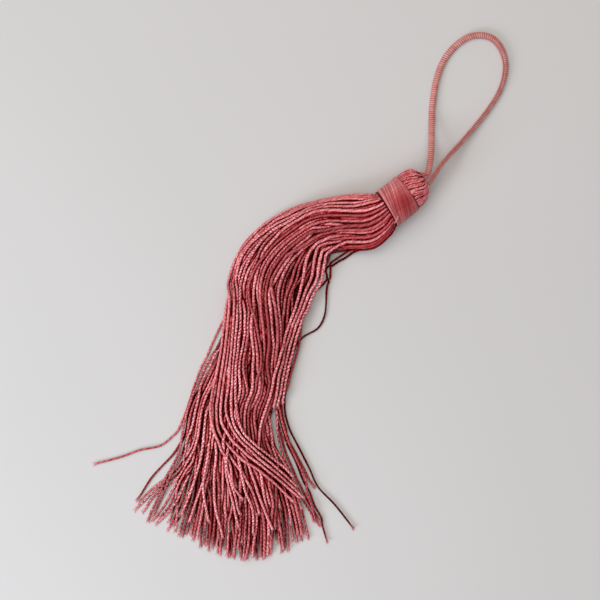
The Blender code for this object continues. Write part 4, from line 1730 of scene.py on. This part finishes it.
CORD_ROUTE = (
    (48.06, 55.28, 6.6), (48.9, 56.0, 6.6), (49.7, 57.8, 6.3), (50.3, 60.9, 5.4),
    (50.7, 64.0, 4.2), (50.9, 67.1, 3.0), (51.0, 70.2, 2.0), (51.1, 73.3, 1.3),
    (51.2, 76.3, 0.97), (51.5, 79.3, 0.92), (52.5, 85.3, 0.92), (54.6, 91.0, 0.92),
    (57.8, 95.2, 0.92), (62.0, 98.1, 0.92), (66.2, 98.8, 0.92), (69.8, 97.5, 0.92),
    (72.3, 94.1, 0.92), (73.3, 89.5, 0.92), (72.3, 84.1, 0.92), (69.8, 79.1, 0.94),
    (65.9, 73.7, 1.2), (61.2, 68.1, 2.2), (57.4, 63.9, 3.7), (54.0, 60.1, 5.0),
    (51.7, 56.8, 5.6), (50.2, 54.45, 5.6), (49.3, 53.65, 5.6))


@dataclass
class HangingLoop:
    """The cord that the tassel hangs by: flat and ribbed, and on its edge on the way back."""

    diameter: float = 1.8
    half_width: float = 1.02
    half_thickness: float = 0.74
    squareness: float = 0.85        # power of the section's outline, 1 for an oval
    rest: float = 0.92              # height of the route where the cord lies on the surface
    rib: float = 0.66               # from one turn of the wrapping yarn to the next
    rib_depth: float = 0.11
    crease_depth: float = 0.10
    crease_width: float = 0.30      # angle over which a side is creased
    turned: Span = (46.0, 84.0)  # where it turns onto its edge, along its way
    roll: float = 0.9               # how far it turns, in quarter turns
    sides: int = 18
    ring_gap: float = 0.11
    columns: int = 4                # strips of the bake map
    edge: float = 0.03              # share of a strip that stays free beside the cord
    foot: float = 0.01              # share of its height that stays free below it
    inner_ends: tuple = ((13.2, 0.0, 0.5), (13.2, 0.9, -0.4))  # inside the head, by the head

    def build(self, material: bpy.types.Material) -> bpy.types.Object:
        """Sweeps the cord along its route.

        Args:
            material: The cord's finish.

        Returns:
            The new object.
        """
        inside = head_point(*np.array(self.inner_ends).T)
        centres = smooth_line(np.concatenate((inside[:1], CORD_ROUTE, inside[1:])), self.ring_gap)
        way = walked(centres)
        tangents = unit(np.gradient(centres, axis=0))
        across = unit(np.cross(tangents, UP))
        ups = np.cross(across, tangents)
        roll = 0.5 * math.pi * self.roll * smooth_step(*self.turned, way)
        half = np.hypot(self.half_thickness * np.cos(roll), self.half_width * np.sin(roll))
        centres = centres + (half - self.rest)[:, None] * UP
        angle = TURN * np.arange(self.sides) / self.sides
        ridge = np.abs(np.sin(np.pi * (way[:, None] / self.rib + angle / TURN)))
        from_side = np.minimum(angle % math.pi, math.pi - angle % math.pi)
        crease = np.exp(-(from_side / self.crease_width) ** 2)
        size = 1.0 - self.rib_depth * (1.0 - ridge) - self.crease_depth * crease
        x, y = (reach * np.sign(wave) * np.abs(wave) ** self.squareness * size
                for reach, wave in ((self.half_width, np.cos(angle)),
                                    (self.half_thickness, np.sin(angle))))
        cos, sin = np.cos(roll)[:, None], np.sin(roll)[:, None]
        rings = centres[:, None] + (x * cos - y * sin)[..., None] * across[:, None] \
            + (x * sin + y * cos)[..., None] * ups[:, None]
        cord = self.mesh(rings, way, ridge, crease, material)
        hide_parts("hanging_cord")
        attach(cord, BODY)
        log.info("hanging cord: %.1f mm long", way[-1])
        return cord

    def bake_map(self, runs: int) -> tuple[np.ndarray, np.ndarray]:
        """Lays the cord out in strips on the bake map, with its two ends at the foot.

        Args:
            runs: How many runs of faces the cord has along its way.

        Returns:
            The corners of its side faces, and of its end faces.
        """
        rows, run, around = -(-runs // self.columns), np.arange(runs), np.arange(self.sides)
        strip, wide, high = (run // rows)[:, None], 1.0 - 2.0 * self.edge, 1.0 - 2.0 * self.foot
        left, right = (strip + self.edge + wide * side / self.sides
                       for side in (around, around + 1))
        start = self.foot + high * (run % rows) / rows
        sides = corner_map(left / self.columns, right / self.columns, start, start + high / rows)
        tiny = np.tile(np.array(((0.0, 0.0), (0.004, 0.0), (0.0, 0.004))), (2 * self.sides, 1, 1))
        tiny[..., 0] += 0.006 * np.arange(2 * self.sides)[:, None]
        return sides, tiny

    def mesh(self, rings: np.ndarray, way: np.ndarray, ridge: np.ndarray, crease: np.ndarray,
             material: bpy.types.Material) -> bpy.types.Object:
        """Makes the cord's mesh, with both ends closed.

        Args:
            rings: Its vertices, ring by ring.
            way: The length walked along it at each ring.
            ridge: How far each vertex stands out on a rib, from 0 to 1.
            crease: How deep each vertex of a ring lies in a crease, from 0 to 1.
            material: Its finish.

        Returns:
            The new object.
        """
        count, sides = rings.shape[:2]
        points = np.concatenate((rings.reshape(-1, 3), rings[[0, -1]].mean(axis=1)))
        maps = {"OFBake": list(self.bake_map(count - 1)),
                "ply": [ply_map(sides, way / self.rib), np.full((2 * sides, 3, 2), 0.5)]}
        # Painted shade: the rib gaps and creases, which the finish darkens.
        values = {"groove": np.append(1.0 - ridge, (0.0, 0.0)),
                  "crease": np.append(np.tile(crease, count), (0.0, 0.0))}
        return array_object("hanging_loop", points, list(tube_faces(0, count, sides)), maps, values,
                            material)


# ---------------------------------------------------------------------------------- finishes

@dataclass(frozen=True)
class SilkFinish:
    """Finish of a twisted silk yarn."""

    name: str
    # From pale to deep: the yarn's colour lit on an open top and shaded under other yarns, painted
    # light and shade.
    deep: Colour = (0.14, 0.0004, 0.0008)
    body: Colour = (0.38, 0.015, 0.018)
    flank: Colour = (0.57, 0.064, 0.070)
    pale: Colour = (0.77, 0.190, 0.200)
    wear_and_shade: Colour = (0.78, 0.32, 0.33)
    glint: Colour = (1.0, 0.72, 0.72)
    roughness: float = 0.38
    shine: float = 0.45
    hidden_shine: float = 0.97      # share of the shine that is lost where the yarn is covered, a painted shade of its reflection
    cover_hides: float = 3.2        # how soon cover and grooves take it away
    groove_hides: float = 0.8
    bump: Span = (0.35, 0.00006)    # strength, and height in metres
    fraying: float = 0.4            # how far a cut end takes the worn colour
    plies: float = 2.0              # strands that are spun together
    ticks: float = 4.6              # times that they cross in one lay of the yarn
    fibre_scale: Triple = (22.0, 2.4, 1.0)
    patch_scale: Triple = (0.5, 0.28, 1.0)
    tick_scale: Triple = (1.6, 5.5, 1.0)
    depths: tuple[float, ...] = (0.0, 0.1, 0.32, 0.88)  # cover at which the colour goes from the pale to the deep one: painted light and shade

    # Ramps of what the colour is multiplied by.
    # Painted highlights and shade along the turns of the spinning.
    turn_tint: Stops = ((0.1, (0.54, 0.36, 0.36)), (0.85, (1.28, 1.60, 1.60)))
    # Painted shade in the grooves between the plies.
    groove_tint: Stops = ((0.15, (1.05, 1.08, 1.08)), (1.0, (0.72, 0.44, 0.45)))
    fibre_tint: Stops = ((0.30, (0.78, 0.64, 0.64)), (0.70, (1.2, 1.36, 1.36)))
    # Painted highlights and shade as flecks along the yarn.
    tick_tint: Stops = ((0.38, (0.74, 0.58, 0.58)), (0.63, (1.24, 1.56, 1.56)))
    patch_tint: Stops = ((0.32, (0.76, 0.60, 0.62)), (0.68, (1.16, 1.30, 1.28)))
    tone_tint: Stops = ((0.0, (0.30, 0.11, 0.12)), (0.25, (0.65, 0.43, 0.44)),
                        (0.5, (1.0, 1.0, 1.0)), (0.9, (1.56, 2.3, 2.25)))

    def material(self) -> bpy.types.Material:
        """Builds the finish's nodes.

        Returns:
            The material.
        """
        kit = NodeKit(self.name)
        shader, white = kit.shader, (1.0, 1.0, 1.0)
        kit.put(shader.inputs["Roughness"], self.roughness)
        kit.put(shader.inputs["Specular Tint"], self.glint)
        groove, tone, fray, cover, spun = map(
            kit.attribute, ("groove", "tone", "fray", "cover", "spun"))
        fibre = kit.noise(kit.uv("ply"), self.fibre_scale, 3.0)
        patch = kit.noise(kit.uv("ply"), self.patch_scale, 2.0)
        tick = kit.noise(kit.uv("ply"), self.tick_scale, 1.5)
        slant = (0.2 * math.pi * self.plies, 0.2 * math.pi * self.ticks, 0.0)
        # Painted highlights and shade along the turns of the spinning.
        turns = kit.ramp(kit.stripes(kit.uv("ply"), slant, 1.2), self.turn_tint)
        # Painted shade: the colour darkens from pale to deep with the cover.
        base = kit.ramp(cover, tuple(zip(self.depths,
                                         (self.pale, self.flank, self.body, self.deep))))
        base = kit.times(base, kit.mix(white, turns, spun))
        # Painted shade: darker in the grooves between the plies.
        base = kit.times(base, kit.ramp(groove, self.groove_tint))
        base = kit.times(base, kit.ramp(fibre, self.fibre_tint))
        grain = kit.maths("MINIMUM", kit.maths("ADD", spun, 0.3), 1.0)
        # Painted highlights and shade: flecks along the yarn, mixed by the spinning.
        base = kit.times(base, kit.mix(white, kit.ramp(tick, self.tick_tint), grain))
        base = kit.times(base, kit.ramp(patch, self.patch_tint))
        # The tone ramp holds both the random tone and the painted shade.
        tone = kit.maths("MULTIPLY_ADD", tone, 0.1, 0.5)
        base = kit.times(base, kit.ramp(tone, self.tone_tint))
        base = kit.mix(base, self.wear_and_shade, kit.maths("MULTIPLY", fray, self.fraying))
        # Painted shade of the reflection: the shine fades where a yarn is covered or lies in a
        # groove.
        hidden = kit.maths("MAXIMUM", kit.maths("MULTIPLY", cover, self.cover_hides),
                           kit.maths("MULTIPLY", groove, self.groove_hides))
        hidden = kit.maths("MINIMUM", hidden, 1.0)
        kit.link(kit.maths("MULTIPLY_ADD", hidden, -self.hidden_shine * self.shine, self.shine),
                 shader.inputs["Specular IOR Level"])
        kit.link(base, shader.inputs["Base Color"])
        kit.link(kit.bump(fibre, *self.bump), shader.inputs["Normal"])
        return kit.material


@dataclass(frozen=True)
class CordFinish:
    """Finish of the ribbed cord."""

    name: str = "salmon_cord"
    deep: Colour = (0.21, 0.012, 0.014)
    body: Colour = (0.70, 0.225, 0.190)
    pale: Colour = (0.86, 0.430, 0.370)
    roughness: float = 0.5
    sheen: float = 0.3
    sheen_roughness: float = 0.4
    creased: float = 0.75           # how far a crease takes the deep colour, a painted shade
    bump: Span = (0.3, 0.00004)     # strength, and height in metres
    fibre_scale: Triple = (60.0, 6.0, 1.0)
    patch_scale: Triple = (1.5, 0.35, 1.0)
    fibre_tint: Stops = ((0.3, (0.88, 0.88, 0.88)), (0.7, (1.1, 1.1, 1.1)))

    def material(self) -> bpy.types.Material:
        """Builds the finish's nodes.

        Returns:
            The material.
        """
        kit = NodeKit(self.name)
        shader = kit.shader
        kit.put(shader.inputs["Roughness"], self.roughness)
        kit.put(shader.inputs["Sheen Weight"], self.sheen)
        kit.put(shader.inputs["Sheen Roughness"], self.sheen_roughness)
        fibre = kit.noise(kit.uv("ply"), self.fibre_scale, 2.0)
        patch = kit.noise(kit.uv("ply"), self.patch_scale, 2.0)
        base = kit.ramp(patch, ((0.35, self.body), (0.75, self.pale)))
        # Painted shade in the gaps between the ribs and in the creases.
        base = kit.mix(base, self.deep, kit.attribute("groove"))
        crease = kit.maths("MULTIPLY", kit.attribute("crease"), self.creased)
        base = kit.mix(base, self.deep, crease)
        kit.link(kit.times(base, kit.ramp(fibre, self.fibre_tint)), shader.inputs["Base Color"])
        kit.link(kit.bump(fibre, *self.bump), shader.inputs["Normal"])
        return kit.material


@dataclass(frozen=True)
class PackedFinish:
    """Finish of the yarn mass that shows only in the gaps, darkened as painted shade of those gaps.
    """

    name: str = "packed_yarn"
    deep: Colour = (0.10, 0.008, 0.014)
    body: Colour = (0.24, 0.035, 0.045)
    roughness: float = 0.7
    bump: Span = (0.5, 0.0002)      # strength, and height in metres
    grain_scale: Triple = (900.0, 900.0, 2500.0)

    def material(self) -> bpy.types.Material:
        """Builds the finish's nodes.

        Returns:
            The material.
        """
        kit = NodeKit(self.name)
        shader = kit.shader
        kit.put(shader.inputs["Roughness"], self.roughness)
        grain = kit.noise(kit.place(), self.grain_scale, 3.0)
        base = kit.ramp(grain, ((0.35, self.deep), (0.7, self.body)))
        kit.link(base, shader.inputs["Base Color"])
        kit.link(kit.bump(grain, *self.bump), shader.inputs["Normal"])
        return kit.material


class NodeKit:
    """A material with short ways to add its nodes."""

    def __init__(self, name: str) -> None:
        """Starts a material with a Principled shader.

        Args:
            name: The material's name.
        """
        self.material = bpy.data.materials.new(name)
        self.material.use_nodes = True
        self.nodes = self.material.node_tree.nodes
        self.shader = self.nodes["Principled BSDF"]

    def link(self, source: bpy.types.NodeSocket, target: bpy.types.NodeSocket) -> None:
        """Joins two sockets."""
        self.material.node_tree.links.new(source, target)

    def put(self, socket: bpy.types.NodeSocket, value: object) -> None:
        """Sets a socket to a number or colour, or joins it to another socket.

        Args:
            socket: The socket to set.
            value: What it gets.
        """
        if isinstance(value, bpy.types.NodeSocket):
            self.link(value, socket)
        elif isinstance(value, tuple) and len(value) == 3 and socket.type == "RGBA":
            socket.default_value = (*value, 1.0)
        else:
            socket.default_value = value

    def node(self, kind: str, values: dict[int | str, object], **settings: str) -> bpy.types.Node:
        """Adds a node.

        Args:
            kind: Its kind.
            values: What its inputs get, by number or name.
            **settings: Its settings by name.

        Returns:
            The node.
        """
        node = self.nodes.new(kind)
        for name, setting in settings.items():
            setattr(node, name, setting)
        for name, value in values.items():
            self.put(node.inputs[name], value)
        return node

    def attribute(self, name: str) -> bpy.types.NodeSocket:
        """Reads a vertex value."""
        return self.node("ShaderNodeAttribute", {}, attribute_name=name).outputs["Fac"]

    def uv(self, name: str) -> bpy.types.NodeSocket:
        """Reads a UV map."""
        return self.node("ShaderNodeUVMap", {}, uv_map=name).outputs["UV"]

    def place(self) -> bpy.types.NodeSocket:
        """Reads the object's own coordinates."""
        return self.node("ShaderNodeTexCoord", {}).outputs["Object"]

    def stretched(self, where: bpy.types.NodeSocket, scale: Triple) -> bpy.types.NodeSocket:
        """Scales coordinates along each axis."""
        return self.node("ShaderNodeMapping", {"Vector": where, "Scale": scale}).outputs["Vector"]

    def noise(self, where: bpy.types.NodeSocket, scale: Triple,
              detail: float) -> bpy.types.NodeSocket:
        """Adds a noise pattern, stretched along each axis."""
        values = {"Vector": self.stretched(where, scale), "Scale": 1.0, "Detail": detail}
        return self.node("ShaderNodeTexNoise", values).outputs["Fac"]

    def stripes(self, where: bpy.types.NodeSocket, scale: Triple,
                wander: float) -> bpy.types.NodeSocket:
        """Adds slanting stripes, stretched along each axis."""
        values = {"Vector": self.stretched(where, scale), "Scale": 1.0, "Distortion": wander}
        return self.node("ShaderNodeTexWave", values, bands_direction="DIAGONAL").outputs["Fac"]

    def ramp(self, value: bpy.types.NodeSocket, stops: Stops) -> bpy.types.NodeSocket:
        """Turns a value into a colour.

        Args:
            value: The value.
            stops: The values and their colours, at least two.

        Returns:
            The colour.
        """
        node = self.nodes.new("ShaderNodeValToRGB")
        ramp = node.color_ramp
        for element, (at, colour) in zip(ramp.elements, stops):
            element.position, element.color = at, (*colour, 1.0)
        for at, colour in stops[2:]:
            ramp.elements.new(at).color = (*colour, 1.0)
        self.link(value, node.inputs["Fac"])
        return node.outputs["Color"]

    def mix(self, first: object, second: object, share: object) -> bpy.types.NodeSocket:
        """Mixes two colours by a share."""
        values = {0: share, 6: first, 7: second}
        return self.node("ShaderNodeMix", values, data_type="RGBA").outputs[2]

    def times(self, colour: bpy.types.NodeSocket,
              factor: bpy.types.NodeSocket) -> bpy.types.NodeSocket:
        """Multiplies a colour by another."""
        values = {0: colour, 1: factor}
        return self.node("ShaderNodeVectorMath", values, operation="MULTIPLY").outputs[0]

    def maths(self, operation: str, *values: object) -> bpy.types.NodeSocket:
        """Adds a calculation with values."""
        return self.node("ShaderNodeMath", dict(enumerate(values)), operation=operation).outputs[0]

    def bump(self, height: bpy.types.NodeSocket, strength: float,
             distance: float) -> bpy.types.NodeSocket:
        """Raises the surface a little by a height pattern."""
        values = {"Height": height, "Strength": strength, "Distance": distance}
        return self.node("ShaderNodeBump", values).outputs["Normal"]


# ---------------------------------------------------------------------------------- studio

class Lamp(NamedTuple):
    """A square lamp, with sizes in metres and power in watts."""

    name: str
    at: Triple
    size: float
    power: float
    colour: Colour


@dataclass
class Studio:
    """The surface that the tassel lies on, its light and the camera, in metres."""

    middle: Span = (0.0117, 0.0195)
    camera_height: float = 0.400
    lens: float = 80.0
    sensor: float = 36.0
    near_clip: float = 0.01
    lamps: tuple[Lamp, ...] = (
        Lamp("key", (-0.24, 0.22, 1.1), 1.25, 9.8, (1.0, 0.975, 0.945)),
        Lamp("window", (-0.42, -0.33, 0.28), 0.25, 2.7, (0.74, 0.85, 1.0)))
    sky: Colour = (0.95, 0.97, 1.0)
    sky_strength: float = 0.28
    floor_size: float = 1.5
    floor_colour: Colour = (0.62, 0.59, 0.565)
    floor_clouds: Span = (0.985, 1.015)  # how dark and how pale its clouds are
    cloud_scale: Triple = (6.0, 6.0, 6.0)
    floor_roughness: float = 0.6

    def build(self) -> None:
        """Sets up the floor, the camera and the lights."""
        self.add_floor()
        self.add_camera()
        for lamp in self.lamps:
            self.add_light(lamp)
        world = bpy.data.worlds.new("studio")
        world.use_nodes = True
        sky = world.node_tree.nodes["Background"].inputs
        sky["Color"].default_value = (*self.sky, 1.0)
        sky["Strength"].default_value = self.sky_strength
        bpy.context.scene.world = world
        bpy.context.scene.view_settings.view_transform = "Standard"

    def add_floor(self) -> None:
        """Makes the plain pale surface."""
        bm = bmesh.new()
        bmesh.ops.create_grid(bm, x_segments=2, y_segments=2, size=self.floor_size)
        mesh = bpy.data.meshes.new("table")
        bm.to_mesh(mesh)
        bm.free()
        kit = NodeKit("pale_table")
        kit.put(kit.shader.inputs["Roughness"], self.floor_roughness)
        cloud = kit.noise(kit.place(), self.cloud_scale, 2.0)
        low, high = (tuple(share * c for c in self.floor_colour) for share in self.floor_clouds)
        kit.link(kit.ramp(cloud, ((0.3, low), (0.7, high))), kit.shader.inputs["Base Color"])
        mesh.materials.append(kit.material)
        floor = in_scene("table", mesh)

    def add_camera(self) -> None:
        """Places the camera straight above."""
        data = bpy.data.cameras.new("camera")
        data.sensor_width, data.lens, data.clip_start = self.sensor, self.lens, self.near_clip
        camera = in_scene("camera", data)
        camera.location = (*self.middle, self.camera_height)
        bpy.context.scene.camera = camera

    def add_light(self, lamp: Lamp) -> None:
        """Places a lamp that faces the tassel.

        Args:
            lamp: The lamp.
        """
        data = bpy.data.lights.new(lamp.name, "AREA")
        data.size, data.energy, data.color = lamp.size, lamp.power, lamp.colour
        light = in_scene(lamp.name, data)
        light.location = lamp.at
        aim = Vector((*self.middle, 0.0)) - Vector(lamp.at)
        light.rotation_euler = aim.to_track_quat("-Z", "Y").to_euler()


def main() -> None:
    """Builds the tassel's pieces in order."""
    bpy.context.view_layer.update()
    Studio().build()
    HangingLoop().build(CordFinish().material())
    silk = SilkFinish("rose_silk")
    thread = replace(silk, name="binding_silk", flank=(0.52, 0.076, 0.078),
                     pale=(0.68, 0.205, 0.205)).material()
    packed, yarn = PackedFinish().material(), silk.material()
    pieces = Skirt().build(yarn) + Binding().build(thread, packed) + Head().build(yarn, packed)
    for piece in pieces:
        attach(piece, BODY)
        log.info("%s: %d faces", piece.name, len(piece.data.polygons))


if __name__ == "__main__":
    main()
